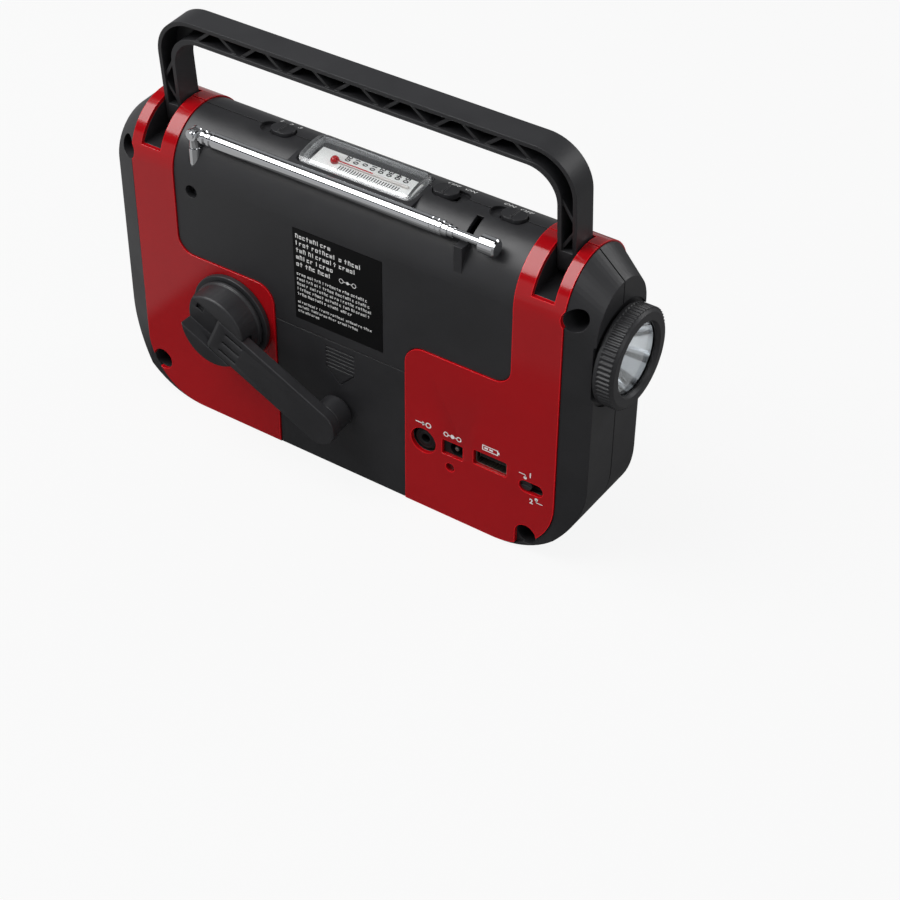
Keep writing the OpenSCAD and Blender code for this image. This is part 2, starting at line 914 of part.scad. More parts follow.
module rear_shell()
    color(black)
    difference() {
        union() {
            difference() {
                intersection() {
                    body_skin();
                    rear_half();
                }
                cavity();
            }
            intersection() {
                rear_inside();
                rear_half();
            }
            intersection() {
                lamp_collar();
                rear_half();
            }
            antenna_clip();
            window_shelf();
        }
        handle_slots();
        window_pocket();
        switch_recesses();
        lamp_bore();
        seam_groove();
        both_ends() rear_trim_pocket();
        for (w = corner_wells)
            well(w, well_r, screw_seat_y);
        well(small_well, small_well_r, small_seat_y);
        rod_y(-through, rear_in + 1, bush_neck_r + seat, crank_x, crank_z);
        for (p = plate_posts)
            rod_y(plate_y - 8, plate_y + 1, plate_screw_r, p[0], p[1]);
        translate([aerial_x, aerial_y, stud_foot_z])
        cylinder(h = through, r = stud_r + fit);
        antenna_core_slot();
        socket_openings();
        door_opening();
        translate([-label_w / 2, rear_y - 1, label_z])
        cube([label_w, 1 + label_sink, label_w]);
    }

bush_neck_r = shaft_r + 2.2;
label_t = 0.3;
label_sink = 0.2;

// Fin that carries the stored aerial
module antenna_clip()
    difference() {
        along_x(clip_x, clip_x + clip_t)
        polygon([
            [aerial_y - tube_r, aerial_z - tube_r - clear],
            [aerial_y + 4 * tube_r, aerial_z - tube_r - clear],
            [aerial_y + 4 * tube_r, shoulder_z + 4],
            [rear_y + 0.6, shoulder_z + 4]
        ]);
        along_x(-through, through) case_profile(-wall / 2);
    }

// Slot above the fin
module antenna_core_slot()
    translate([0, 0, shoulder_z])
    rotate([25, 0, 0])
    block([clip_x, -4, half_d - wall - 2], [clip_x + clip_t - 0.6, 3.5, half_d + 2]);

module front_inside()
    intersection() {
        union() {
            handle_boxes();
            window_floor();
            for (w = corner_wells)
                rod_y(0, front_y, well_r, w[0], w[1]);
            rod_y(0, front_y, small_well_r + rib, small_well[0], small_well[1]);
            for (p = board_posts)
                rod_y(board_y + board_t, front_y, 2.5, p[0], p[1]);
            for (s = [-1, 1])
                rod_y(lantern_y + board_t, front_y, 2, lantern_x + s * (lantern_w / 2 + 3.6), lantern_z);
        }
        inner_skin();
    }

board_z0 = volume_z - 11;
board_z1 = tuning_z + 22;
board_posts = [
    [tuning_x - 20, board_z0 + 8], [tuning_x - 20, board_z1 - 4],
    [tuning_x + 30, volume_z + 16], [tuning_x + 30, board_z1 - 4]
];
lantern_y = front_in - 7;

module front_shell()
    color(black)
    difference() {
        union() {
            difference() {
                intersection() {
                    body_skin();
                    front_half();
                }
                cavity();
            }
            intersection() {
                front_inside();
                front_half();
            }
            intersection() {
                lamp_collar();
                front_half();
            }
        }
        handle_slots();
        window_pocket();
        switch_recesses();
        lamp_bore();
        seam_groove();
        both_ends() front_trim_pocket();
        for (w = concat(corner_wells, [small_well]))
            rod_y(-1, screw_end_y + 1, screw_r + fit, w[0], w[1]);
        rod_y(front_y - grille_t - seat, through, grille_r + seat, speaker_x, speaker_z);
        rod_y(front_in - 1, through, speaker_r - 2, speaker_x, speaker_z);
        rod_y(front_y - dial_t, through, dial_r + seat, tuning_x, tuning_z);
        rod_y(front_in - 1, through, tuning_shaft_r + clear, tuning_x, tuning_z);
        rod_y(front_in - 1, through, volume_shaft_r + clear, volume_x, volume_z);
        along_y(front_in - 1, through)
        translate([lantern_x, lantern_z])
        rounded(lantern_w + 2 * seat, lantern_h + 2 * seat, 4);
    }

dial_t = 0.8;

module rear_trim_left()
    color(red)
    difference() {
        mirror([1, 0, 0])
        rear_trim(left_wells);
        rod_y(-through, through, bush_neck_r + seat, crank_x, crank_z);
    }

module rear_trim_right()
    color(red)
    difference() {
        rear_trim(right_wells);
        socket_openings();
    }

module front_trim_right()
    color(red)
    front_trim();

module front_trim_left()
    color(red)
    mirror([1, 0, 0])
    front_trim();

// One screw with a cross recess, its head outwards to the rear
module screw(place, seat_y, end_y, r, head_r)
    difference() {
        union() {
            rod_y(seat_y - screw_head_h, seat_y, head_r, place[0], place[1]);
            rod_y(seat_y - 0.1, end_y, r, place[0], place[1]);
        }
        for (a = [0, 90])
            translate([place[0], seat_y - screw_head_h, place[1]])
            rotate([0, 45 + a, 0])
            cube([1.2 * head_r, 1.8, 0.8], center = true);
    }

module screws()
    color("#1c1c1e") {
        for (w = corner_wells)
            screw(w, screw_seat_y, screw_end_y, screw_r, screw_head_r);
        screw(small_well, small_seat_y, screw_end_y, screw_r, small_well_r - 0.2);
        for (p = plate_posts) {
            rod_y(plate_y - 7, plate_y + plate_t + 0.1, plate_screw_r - fit, p[0], p[1]);
            rod_y(plate_y + plate_t, plate_y + plate_t + 1.4, 2 * plate_screw_r, p[0], p[1]);
        }
    }

module rating_label()
    color("#151516")
    translate([-label_w / 2 + seat, rear_y + label_sink - label_t, label_z + seat])
    cube([label_w - 2 * seat, label_t, label_w - 2 * seat]);

// Lamp

module lamp_ring()
    color(black)
    difference() {
        union() {
            turned_x(0, lamp_z)
            polygon([
                [0, ring_back], [ring_r - 0.4, ring_back], [ring_r, ring_back + 0.4],
                [ring_r, ring_back + 1.4], [ring_r - ring_rib_h, ring_back + 1.9],
                [ring_r - ring_rib_h, ring_face - 1.1], [ring_r - 1.6, ring_face],
                [0, ring_face]
            ]);
            along_x(ring_back + 1, ring_face - 1)
            translate([0, lamp_z])
            polygon([
                for (k = [0:ring_ribs - 1], i = [0:3])
                let (
                    a = 360 * (k + i / 4) / ring_ribs,
                    r = i < 2 ? ring_r : ring_r - ring_rib_h
                )
                r * [cos(a), sin(a)]
            ]);
        }
        rod_x(ring_back - 1, lens_x + lens_t + seat, collar_r + seat, 0, lamp_z);
        turned_x(0, lamp_z)
        polygon([
            [0, lens_x], [ring_bore_r, lens_x], [ring_bore_r, ring_face - 1.2],
            [ring_bore_r + 0.8, ring_face + 0.1], [0, ring_face + 0.1]
        ]);
    }

module lamp_lens()
    color(clear_plastic)
    rod_x(lens_x, lens_x + lens_t, collar_r - 0.2, 0, lamp_z);

// Bowl of the reflector: radius at a share of its depth
function bowl_r(t) = 3.2 + (reflector_r - 4.2) * sqrt(t);

module lamp_reflector()
    color(chrome)
    turned_x(0, lamp_z) {
        steps = 8;
        depth = lens_x - reflector_back;
        polygon(concat(
            [for (i = [0:steps]) [bowl_r(i / steps), reflector_back + depth * i / steps]],
            [for (i = [steps:-1:0]) [bowl_r(i / steps) + 0.9, reflector_back + depth * i / steps]]
        ));
    }

module lamp_led()
    color("#e9e4c8") {
        rod_x(reflector_back - led_board_t, reflector_back, 7, 0, lamp_z);
        difference() {
            translate([reflector_back, 0, lamp_z])
            sphere(2.4);
            block([0, -10, 0], [reflector_back - led_board_t / 2, 10, body_h]);
        }
    }

// Thermometer

module thermometer_window()
    color(clear_plastic)
    difference() {
        intersection() {
            on_shoulder()
            translate([0, 0, half_d - window_sink])
            linear_extrude(through)
            rounded(window_l, window_w, 2.5);
            rod_x(-window_l, window_l, half_d + window_proud, 0, shoulder_z);
        }
        intersection() {
            on_shoulder()
            translate([0, 0, half_d - window_sink - 1])
            linear_extrude(through)
            rounded(window_l - 2 * window_skin, window_w - 2 * window_skin, 1.4);
            rod_x(-window_l, window_l, half_d + window_proud - window_skin, 0, shoulder_z);
        }
    }

card_t = 0.5;
card_l = window_l - 2 * window_skin - 3;
card_w = window_w - 2 * window_skin - 4.6;
card_top = half_d - window_sink + card_t;

module thermometer_card()
    color("white")
    on_shoulder()
    translate([0, -0.8, half_d - window_sink])
    linear_extrude(card_t)
    square([card_l, card_w], center = true);

module thermometer_tube()
    color("#b3202a")
    on_shoulder()
    translate([0, -0.8, card_top + capillary_r]) {
        translate([-card_l / 4 - 2, 0, 0])
        rotate([0, 90, 0])
        cylinder(h = card_l * 3 / 4, r = capillary_r);
        difference() {
            translate([-card_l / 4 - 2, 0, 0])
            sphere(bulb_r);
            translate([-card_l, -5, -capillary_r - 5])
            cube([2 * card_l, 10, 5]);
        }
    }

// Sockets behind the rear wall

module line_in_jack()
    color("#161617")
    difference() {
        union() {
            block([line_x - 4.2, rear_in + 0.2, socket_floor],
                [line_x + 4.2, rear_in + jack_depth, line_z + 4.2]);
            rod_y(rear_y + 1, rear_in + 0.3, line_recess_r - 1.2, line_x, line_z);
        }
        rod_y(rear_y - 1, rear_y + 1 + line_bore_l, line_bore_r, line_x, line_z);
    }

module dc_jack()
    color("#161617")
    difference() {
        union() {
            along_y(rear_y + 0.8, rear_in + jack_depth)
            translate([dc_x, dc_z])
            square([dc_w - 2 * seat, dc_h - 2 * seat], center = true);
            block([dc_x - dc_w / 2 + seat, rear_in + 0.6, socket_floor],
                [dc_x + dc_w / 2 - seat, rear_in + jack_depth, dc_z]);
        }
        difference() {
            rod_y(rear_y, rear_y + 10, dc_barrel_r, dc_x + dc_w / 2 - dc_barrel_r - 0.6, dc_z);
            rod_y(rear_y, rear_y + 11, 1, dc_x + dc_w / 2 - dc_barrel_r - 0.6, dc_z);
        }
    }

dc_barrel_r = dc_h / 2 - 0.5;

module usb_socket()
    color(steel)
    difference() {
        union() {
            along_y(rear_y + 0.6, rear_in + jack_depth)
            translate([usb_x, usb_z])
            rounded(usb_w - 1.2, usb_h - 0.8, 0.7);
            for (s = [-1, 1])
                block([usb_x + s * (usb_w / 2 - 1.4) - 0.7, rear_in + 2, socket_floor],
                    [usb_x + s * (usb_w / 2 - 1.4) + 0.7, rear_in + jack_depth - 2, usb_z]);
        }
        difference() {
            along_y(rear_y, rear_in + jack_depth - 2)
            translate([usb_x, usb_z])
            rounded(usb_w - 1.8, usb_h - 1.4, 0.5);
            block([usb_x - usb_w / 2 + 1.6, rear_y + 1.6, usb_z - 0.2],
                [usb_x + usb_w / 2 - 1.6, rear_in + jack_depth, usb_z + 1.7]);
        }
    }

module charge_led()
    color("#7d1a1a") {
        rod_y(rear_y + 0.6, rear_in + 0.2, led_r, led_x, led_z);
        block([led_x - led_r, rear_in, led_z - led_r],
            [led_x + led_r, rear_in + 5, socket_floor - board_t]);
    }

module jack_board()
    color(board_green)
    block([line_x - 5.6, rear_in + 0.4, socket_floor - board_t],
        [selector_x + 6.4, rear_in + jack_depth + 1, socket_floor]);

module selector_body()
    color("#3b3b3d")
    difference() {
        block([selector_x - 6, rear_in + 0.5, socket_floor],
            [selector_x + 6, rear_in + 7, selector_z + 3.5]);
        along_y(rear_in, rear_in + 3)
        translate([selector_x, selector_z])
        square([selector_travel + 2 + 2 * clear, 2 + 2 * clear], center = true);
    }

module battery_selector()
    color("#202022")
    translate([selector_x - selector_travel / 2, 0, selector_z])
    difference() {
        union() {
            rod_y(rear_y + 0.2, rear_in + 0.2, selector_w / 2 - 2 * clear / 3, 0, 0);
            block([-1, rear_in, -1], [1, rear_in + 2.6, 1]);
        }
        translate([0, rear_y, 0])
        cube([2 * selector_w, 1.4, 0.9], center = true);
    }

// Top switches

module switch_bodies()
    color("#3b3b3d")
    for (i = [0:2])
        translate([switch_x[i] + switch_way[i] * switch_travel / 2, 0, 0])
        difference() {
            block([-7, -3.4, switch_top - switch_body_h], [7, 3.4, switch_top]);
            translate([0, 0, switch_top - 2.4])
            linear_extrude(5)
            square([stem_l + switch_travel + 2 * clear, stem_w + 2 * clear], center = true);
        }

// Oblong cap with a cross ridge and the stem that works the switch
module switch_cap(i)
    color(black)
    translate([switch_x[i], 0, 0]) {
        translate([0, 0, cap_z])
        linear_extrude(cap_rise + 0.6)
        oblong(cap_l, cap_w);
        translate([0, 0, cap_z])
        linear_extrude(cap_rise + 1.2)
        square([0.9, cap_w - 1.6], center = true);
        translate([-stem_l / 2, -stem_w / 2, switch_top - 2])
        cube([stem_l, stem_w, cap_z - switch_top + 2.5]);
    }

module band_switch() switch_cap(0);
module power_switch() switch_cap(1);
module lamp_switch() switch_cap(2);

// Front face

module main_board()
    color(board_green)
    block([tuning_x - 24, board_y, board_z0], [tuning_x + 34, board_y + board_t, board_z1]);

module dial_plate()
    color("#1a1a1b")
    difference() {
        rod_y(front_y - dial_t + seat / 2, front_y + 0.2, dial_r, tuning_x, tuning_z);
        rod_y(front_in, through, tuning_shaft_r + clear, tuning_x, tuning_z);
    }

module tuning_capacitor()
    color("#8d8f92") {
        block([tuning_x - 10, board_y + board_t, tuning_z - 10],
            [tuning_x + 10, board_y + board_t + 8, tuning_z + 10]);
        rod_y(board_y + board_t + 8, front_in - 0.5, tuning_shaft_r + 1, tuning_x, tuning_z);
    }

module volume_pot()
    color("#8d8f92") {
        block([volume_x - 8, board_y + board_t, volume_z - 8],
            [volume_x + 8, board_y + board_t + 6, volume_z + 8]);
        rod_y(board_y + board_t + 6, front_in - 0.5, volume_shaft_r + 1, volume_x, volume_z);
    }

// Fluted knob with a pointer groove and its shaft
module knob(x, z, r, flutes, shaft)
    difference() {
        union() {
            rod_y(knob_back, knob_face, r, x, z);
            rod_y(front_in - 0.2, knob_back + 1, shaft, x, z);
        }
        for (k = [0:flutes - 1])
            rod_y(knob_back + 1.6, through, 0.9,
                x + (r + 0.3) * cos(360 * (k + 0.5) / flutes),
                z + (r + 0.3) * sin(360 * (k + 0.5) / flutes));
        block([x - 0.6, knob_face - 0.6, z + r * 0.35], [x + 0.6, knob_face + 1, z + r - 1.4]);
    }

module tuning_knob()
    color(black)
    knob(tuning_x, tuning_z, tuning_r, 24, tuning_shaft_r);

module volume_knob()
    color(black)
    knob(volume_x, volume_z, volume_r, 16, volume_shaft_r);

module speaker()
    color("#6f6f72")
    turned_y(speaker_x, speaker_z)
    polygon([
        [0, speaker_back], [14, speaker_back], [14, speaker_back + 6],
        [speaker_r - 5, front_in - 3], [speaker_r, front_in - 2.5],
        [speaker_r, front_in], [speaker_r - 4, front_in],
        [8, front_in - 8], [0, front_in - 5]
    ]);

module speaker_grille()
    color("#1d1d1f")
    along_y(front_y - grille_t, front_y)
    translate([speaker_x, speaker_z])
    difference() {
        circle(grille_r);
        intersection() {
            circle(grille_r - 3);
            for (k = [-5:5])
                translate([0, k * grille_pitch])
                square([2 * grille_r, grille_pitch - grille_bar], center = true);
            difference() {
                circle(grille_r);
                for (s = [-1, 1])
                    translate([s * grille_r / 3, 0])
                    square([grille_bar, 2 * grille_r], center = true);
            }
        }
    }

module lantern_lens()
    color([0.95, 0.95, 0.92, 0.8]) {
        along_y(front_in - 0.2, front_y + 0.8)
        translate([lantern_x, lantern_z])
        rounded(lantern_w, lantern_h, 4);
        along_y(front_in - 1.6, front_in)
        translate([lantern_x, lantern_z])
        rounded(lantern_w + 2, lantern_h + 2, 4);
    }

module lantern_board()
    color(board_green) {
        block([lantern_x - lantern_w / 2 - 5, lantern_y, lantern_z - lantern_h / 2],
            [lantern_x + lantern_w / 2 + 5, lantern_y + board_t, lantern_z + lantern_h / 2]);
        for (k = [-1.5:1.5])
            block([lantern_x + k * 9 - 1.6, lantern_y + board_t - 0.2, lantern_z - 1.6],
                [lantern_x + k * 9 + 1.6, lantern_y + board_t + 1.4, lantern_z + 1.6]);
    }

// Batteries

module battery_contacts()
    color(steel)
    for (s = [-1, 1], k = [0:2])
        translate([0, 0, bay_z0 + 0.5 + cell_pitch * (k + 0.5)])
        block([s > 0 ? bay_x - 0.5 : -bay_x, cell_y - 5, -5],
            [s > 0 ? bay_x : -bay_x + 0.5, cell_y + 5, 5]);

module battery_cells()
    color("#54616d")
    for (k = [0:2])
        translate([0, 0, bay_z0 + 0.5 + cell_pitch * (k + 0.5)]) {
            way = k == 1 ? -1 : 1;
            mirror([way < 0 ? 1 : 0, 0, 0]) {
                rod_x(-cell_l / 2, cell_l / 2 - 1.2, cell_d / 2, cell_y, 0);
                rod_x(cell_l / 2 - 2, cell_l / 2, 2.7, cell_y, 0);
            }
        }

module rechargeable_pack()
    color("#2f6f4f")
    for (k = [0:2])
        rod_x(pack_x, pack_x + pack_l, pack_r, rear_in + 1 + pack_r + (2 * pack_r + seat) * k, pack_z);

pack_x = panel_x + tongue_reach + 2.5;
pack_l = 30;
pack_r = 5.1;
// Reach of the pack into the round lower corner, and the height that this takes
pack_over = max(0, pack_x + pack_l - half_w + corner_r);
pack_z = corner_r - sqrt(pow(corner_r - wall, 2) - pow(pack_over, 2)) + seat + pack_r;

// Door with side tongues, grip ridges and an arrow
module battery_door()
    color(black)
    difference() {
        union() {
            block([-door_w / 2, rear_y, door_gap], [door_w / 2, door_back, door_h]);
            both_ends()
            block(
                [bay_x + rib + clear, door_back - 0.1, 20],
                [door_w / 2 - 0.2, rear_in + 1.6, door_h - 8]
            );
            both_ends()
            block(
                [bay_x + rib + clear, rear_in + clear, 20],
                [door_w / 2 + tongue_reach, rear_in + 1.6, door_h - 8]
            );
        }
        for (k = [0:5])
            translate([0, rear_y, door_h - 3 - 1.7 * k])
            cube([13, 0.8, 0.8], center = true);
        for (s = [-1, 1])
            translate([s * 3.1, rear_y, door_h - 15.2])
            rotate([0, -s * 45, 0])
            cube([9, 0.8, 0.6], center = true);
    }

// Handle, folded about its trunnions

module handle_outline(inset) {
    w = handle_w - 2 * inset;
    r = max(handle_corner_r - inset, 2);
    top = handle_rise - inset;
    translate([-w / 2, -inset])
    square([w, top - r + inset]);
    translate([-w / 2 + r, 0])
    square([w - 2 * r, top]);
    for (s = [-1, 1])
        translate([s * (w / 2 - r), top - r])
        circle(r);
}

// Opening between the legs, grown by g
module handle_gap(g) {
    w = handle_w - 2 * handle_leg_t + 2 * g;
    top = handle_rise - handle_bar_t + g;
    r = handle_corner_r - 5;
    translate([-w / 2, -through])
    square([w, through + top - r]);
    translate([-w / 2 + r, 0])
    square([w - 2 * r, top]);
    for (s = [-1, 1])
        translate([s * (w / 2 - r), top - r])
        circle(r);
}

module handle()
    color(black)
    translate([0, 0, pivot_z])
    rotate([handle_lean, 0, 0]) {
        difference() {
            along_y(-handle_d / 2, handle_d / 2)
            difference() {
                handle_outline(0);
                handle_gap(0);
            }
            difference() {
                along_y(-through, handle_d / 2 - handle_skin)
                difference() {
                    intersection() {
                        handle_outline(handle_skin);
                        translate([-through, handle_d / 2 + 1])
                        square(2 * through);
                    }
                    handle_gap(handle_skin);
                }
                handle_web();
            }
        }
        both_ends()
        rod_x(handle_w / 2 - handle_leg_t, handle_w / 2, handle_d / 2, 0, 0);
        both_ends()
        rod_x(handle_w / 2 - handle_leg_t - trunnion_l, handle_w / 2 + trunnion_l, trunnion_r, 0, 0);
    }

// Zigzag ribs inside the bar and the legs
module handle_web() {
    bar_l = handle_w - 2 * handle_corner_r;
    pitch = bar_l / handle_ribs;
    web_h = handle_bar_t;
    lean = atan2(web_h, pitch);
    for (k = [0:handle_ribs - 1])
        translate([-bar_l / 2 + pitch * (k + 0.5), 0.5, handle_rise - handle_bar_t / 2])
        rotate([0, (k % 2 == 0 ? -1 : 1) * lean, 0])
        cube([2 * web_h + pitch, handle_d - 1, handle_rib_t], center = true);
    leg_l = handle_rise - handle_corner_r - handle_d / 2;
    both_ends()
    for (k = [0:1])
        translate([(handle_w - handle_leg_t) / 2, 0.5, handle_d / 2 + leg_l * (k + 0.5) / 2])
        rotate([0, (k % 2 == 0 ? -1 : 1) * 58, 0])
        cube([2 * handle_leg_t + 8, handle_d - 1, handle_rib_t], center = true);
}

// Crank

module crank_bush()
    color(black)
    difference() {
        union() {
            rod_y(bush_y, trim_y, bush_r, crank_x, crank_z);
            rod_y(trim_y - 0.1, gear_y - clear, bush_neck_r, crank_x, crank_z);
        }
        rod_y(-through, through, shaft_r + fit, crank_x, crank_z);
    }

module crank_hub()
    color(black)
    difference() {
        turned_y(crank_x, crank_z)
        polygon([
            [0, hub_back], [hub_r + 0.6, hub_back], [hub_r + 0.6, hub_back - 1.2],
            [hub_r, hub_back - 1.6], [hub_r, hub_y + 0.6], [hub_r - 0.6, hub_y], [0, hub_y]
        ]);
        at_crank()
        block([-through, -through, -arm_w / 2 - arm_gap], [through, channel_y, arm_w / 2 + arm_gap]);
        at_crank()
        block([-hub_r + 3, channel_y - 1, -1.6], [-hub_r + 6.4, channel_y + 1.2, 1.6]);
        rod_y(hub_back - 3, hub_back + 1, shaft_r, crank_x, crank_z);
        at_crank()
        translate([hinge_offset, arm_y, -hinge_half])
        cylinder(h = 2 * hinge_half, r = hinge_pin_r);
    }

hinge_half = arm_w / 2 + arm_gap + 4;

module crank_hinge_pin()
    color(steel)
    at_crank()
    translate([hinge_offset, arm_y, -hinge_half])
    cylinder(h = 2 * hinge_half, r = hinge_pin_r);

module crank_arm()
    color(black)
    at_crank()
    difference() {
        union() {
            along_y(hub_y, hub_y + arm_t) {
                translate([hinge_offset, -arm_w / 2])
                square([arm_reach - hinge_offset, arm_w]);
                translate([arm_reach, 0])
                circle(arm_w / 2);
            }
            translate([hinge_offset, arm_y, -arm_w / 2])
            cylinder(h = arm_w, r = arm_t / 2);
        }
        translate([hinge_offset, arm_y, -through / 2])
        cylinder(h = through, r = hinge_pin_r + fit);
        rod_y(hub_y + 1.2, hub_y + arm_t + 1, grip_pin_r + fit, arm_reach, 0);
        for (s = [-1, 0, 1])
            block([hinge_offset + 3.6, hub_y - 1, s * arm_w / 3.4 - 0.4],
                [hub_r - 1, hub_y + 1.2, s * arm_w / 3.4 + 0.4]);
    }

module grip_pin()
    color(steel)
    at_crank() {
        rod_y(hub_y + 1.2, grip_end_y - 1.8, grip_pin_r, arm_reach, 0);
        rod_y(grip_end_y - 2, grip_end_y - 0.8, grip_pin_r + 1.4, arm_reach, 0);
    }

module crank_grip()
    color(black)
    at_crank()
    turned_y(arm_reach, 0)
    polygon([
        [grip_pin_r + fit, grip_back], [grip_r - 0.5, grip_back], [grip_r, grip_back + 0.6],
        [grip_r, grip_end_y - 0.6], [grip_r - 0.6, grip_end_y],
        [grip_pin_r + 1.4 + clear, grip_end_y], [grip_pin_r + 1.4 + clear, grip_end_y - 2 - clear],
        [grip_pin_r + fit, grip_end_y - 2 - clear]
    ]);

module crank_shaft()
    color(steel)
    union() {
        rod_y(hub_back - 3, plate_y - clear, shaft_r, crank_x, crank_z);
        rod_y(plate_y - 1, plate_y + plate_t, shaft_r - 1.4, crank_x, crank_z);
    }

module drive_gear()
    color("#e6e3da")
    difference() {
        translate([crank_x, gear_y + wheel_t, crank_z])
        rotate([90, 0, 0])
        rotate([0, 0, idler_dir])
        linear_extrude(wheel_t)
        gear(wheel_teeth);
        rod_y(-through, through, shaft_r, crank_x, crank_z);
    }

module idler_gear()
    color("#e6e3da")
    difference() {
        union() {
            translate([idler[0], gear_y + wheel_t + clear + 0.1, idler[1]])
            rotate([90, 0, 0])
            rotate([0, 0, idler_dir + 180 + 180 / pinion_teeth])
            linear_extrude(wheel_t + clear + 0.1)
            gear(pinion_teeth);
            translate([idler[0], idler_y + wheel_t, idler[1]])
            rotate([90, 0, 0])
            rotate([0, 0, generator_dir])
            linear_extrude(wheel_t)
            gear(wheel_teeth);
        }
        rod_y(-through, through, idler_post_r + fit, idler[0], idler[1]);
    }

module generator_pinion()
    color(steel)
    union() {
        translate([motor[0], idler_y + wheel_t, motor[1]])
        rotate([90, 0, 0])
        rotate([0, 0, generator_dir + 180 + 180 / pinion_teeth])
        linear_extrude(wheel_t)
        gear(pinion_teeth);
        rod_y(idler_y + wheel_t - 1, plate_y + plate_t + 8, motor_shaft_r, motor[0], motor[1]);
    }

motor_shaft_r = 1.5;

module gear_plate()
    color("#b4b6b8")
    difference() {
        union() {
            block(
                [motor[0] - post_side - post_r - clear, plate_y, idler[1] - 17],
                [crank_x + 15.5, plate_y + plate_t, motor[1] + 16]
            );
            rod_y(gear_y, plate_y + 1, idler_post_r, idler[0], idler[1]);
        }
        rod_y(-through, through, shaft_r - 1.4 + fit, crank_x, crank_z);
        rod_y(-through, through, motor_shaft_r + 1, motor[0], motor[1]);
        for (p = plate_posts)
            rod_y(-through, through, plate_screw_r + 0.2, p[0], p[1]);
    }

module generator()
    color("#9fa2a6")
    difference() {
        rod_y(plate_y + plate_t, plate_y + plate_t + generator_l, generator_r, motor[0], motor[1]);
        rod_y(plate_y, plate_y + plate_t + 8 + clear, motor_shaft_r + fit, motor[0], motor[1]);
    }

// Aerial

module antenna_base()
    color(chrome)
    difference() {
        union() {
            translate([aerial_x, aerial_y, stud_foot_z]) {
                cylinder(h = stud_neck_z - stud_foot_z - 0.4, r = stud_r);
                cylinder(h = stud_neck_z - stud_foot_z, r = knuckle_r - 0.3);
            }
            translate([aerial_x, aerial_y, stud_neck_z])
            cylinder(h = aerial_z - stud_neck_z, r = knuckle_r);
            rod_y(aerial_y - knuckle_r, aerial_y + knuckle_r, knuckle_r, aerial_x, aerial_z);
        }
        block(
            [aerial_x - knuckle_r - clear, aerial_y - fork_gap / 2, aerial_z - knuckle_r - clear],
            [aerial_x + 2 * stud_r, aerial_y + fork_gap / 2, aerial_z + 2 * stud_r]
        );
        rod_y(-through, through, rivet_r, aerial_x, aerial_z);
    }

module antenna_rivet()
    color(chrome) {
        rod_y(aerial_y - knuckle_r, aerial_y + knuckle_r, rivet_r, aerial_x, aerial_z);
        for (s = [-1, 1])
            rod_y(aerial_y + s * (knuckle_r + 0.25) - 0.25, aerial_y + s * (knuckle_r + 0.25) + 0.25,
                rivet_r + 0.4, aerial_x, aerial_z);
    }

module antenna_tube_1()
    color(chrome)
    difference() {
        union() {
            rod_y(aerial_y - tongue_t / 2, aerial_y + tongue_t / 2, knuckle_r - 0.2, aerial_x, aerial_z);
            block([aerial_x, aerial_y - tongue_t / 2, aerial_z - knuckle_r + 0.2],
                [ferrule_x + 1, aerial_y + tongue_t / 2, aerial_z + knuckle_r - 0.2]);
            turned_x(aerial_y, aerial_z)
            polygon([
                [0, ferrule_x], [tube_r - 0.5, ferrule_x], [tube_r, ferrule_x + 0.5],
                [tube_r, ferrule_x + 1.6], [tube_r - 0.6, ferrule_x + 2.2],
                [tube_r - 0.6, ferrule_x + 2.8], [tube_r, ferrule_x + 3.4],
                [tube_r, ferrule_x + 4.4], [tube_r - 0.4, tube_x0 - 0.5],
                [tube_r - 0.4, tube_x0], [tube_r, tube_x0 + 0.3],
                [tube_r, tube_x1 - 4.8], [tube_r - 0.2, tube_x1 - 4.6], [tube_r - 0.2, tube_x1 - 4.2],
                [tube_r, tube_x1 - 4], [tube_r, tube_x1 - 2.4], [tube_r - 0.2, tube_x1 - 2.2],
                [tube_r - 0.2, tube_x1 - 1.8], [tube_r, tube_x1 - 1.6],
                [tube_r, tube_x1 - 0.4], [tube_r - 0.3, tube_x1], [0, tube_x1]
            ]);
        }
        rod_x(bore_x, through, tube_r - tube_wall, aerial_y, aerial_z);
        rod_y(-through, through, rivet_r + fit, aerial_x, aerial_z);
    }

// Sliding tube number i, whose nose stands out of the one before it
module antenna_tube(i)
    color(chrome)
    difference() {
        union() {
            rod_x(bore_x + 2 * i, tube_x1 + i * tube_nose, tube_r - i * tube_step, aerial_y, aerial_z);
        }
        rod_x(bore_x + 2 * i + 1, through, tube_r - i * tube_step - tube_wall, aerial_y, aerial_z);
    }

module antenna_tube_2() antenna_tube(1);
module antenna_tube_3() antenna_tube(2);

module antenna_rod()
    color(chrome) {
        rod_x(bore_x + 6, tip_x0 + 1, tube_r - 3 * tube_step, aerial_y, aerial_z);
        turned_x(aerial_y, aerial_z)
        polygon([
            [0, tip_x0], [tip_r - 0.5, tip_x0], [tip_r, tip_x0 + 0.5],
            [tip_r, tip_x0 + tip_l - 0.6], [tip_r - 0.6, tip_x0 + tip_l], [0, tip_x0 + tip_l]
        ]);
    }

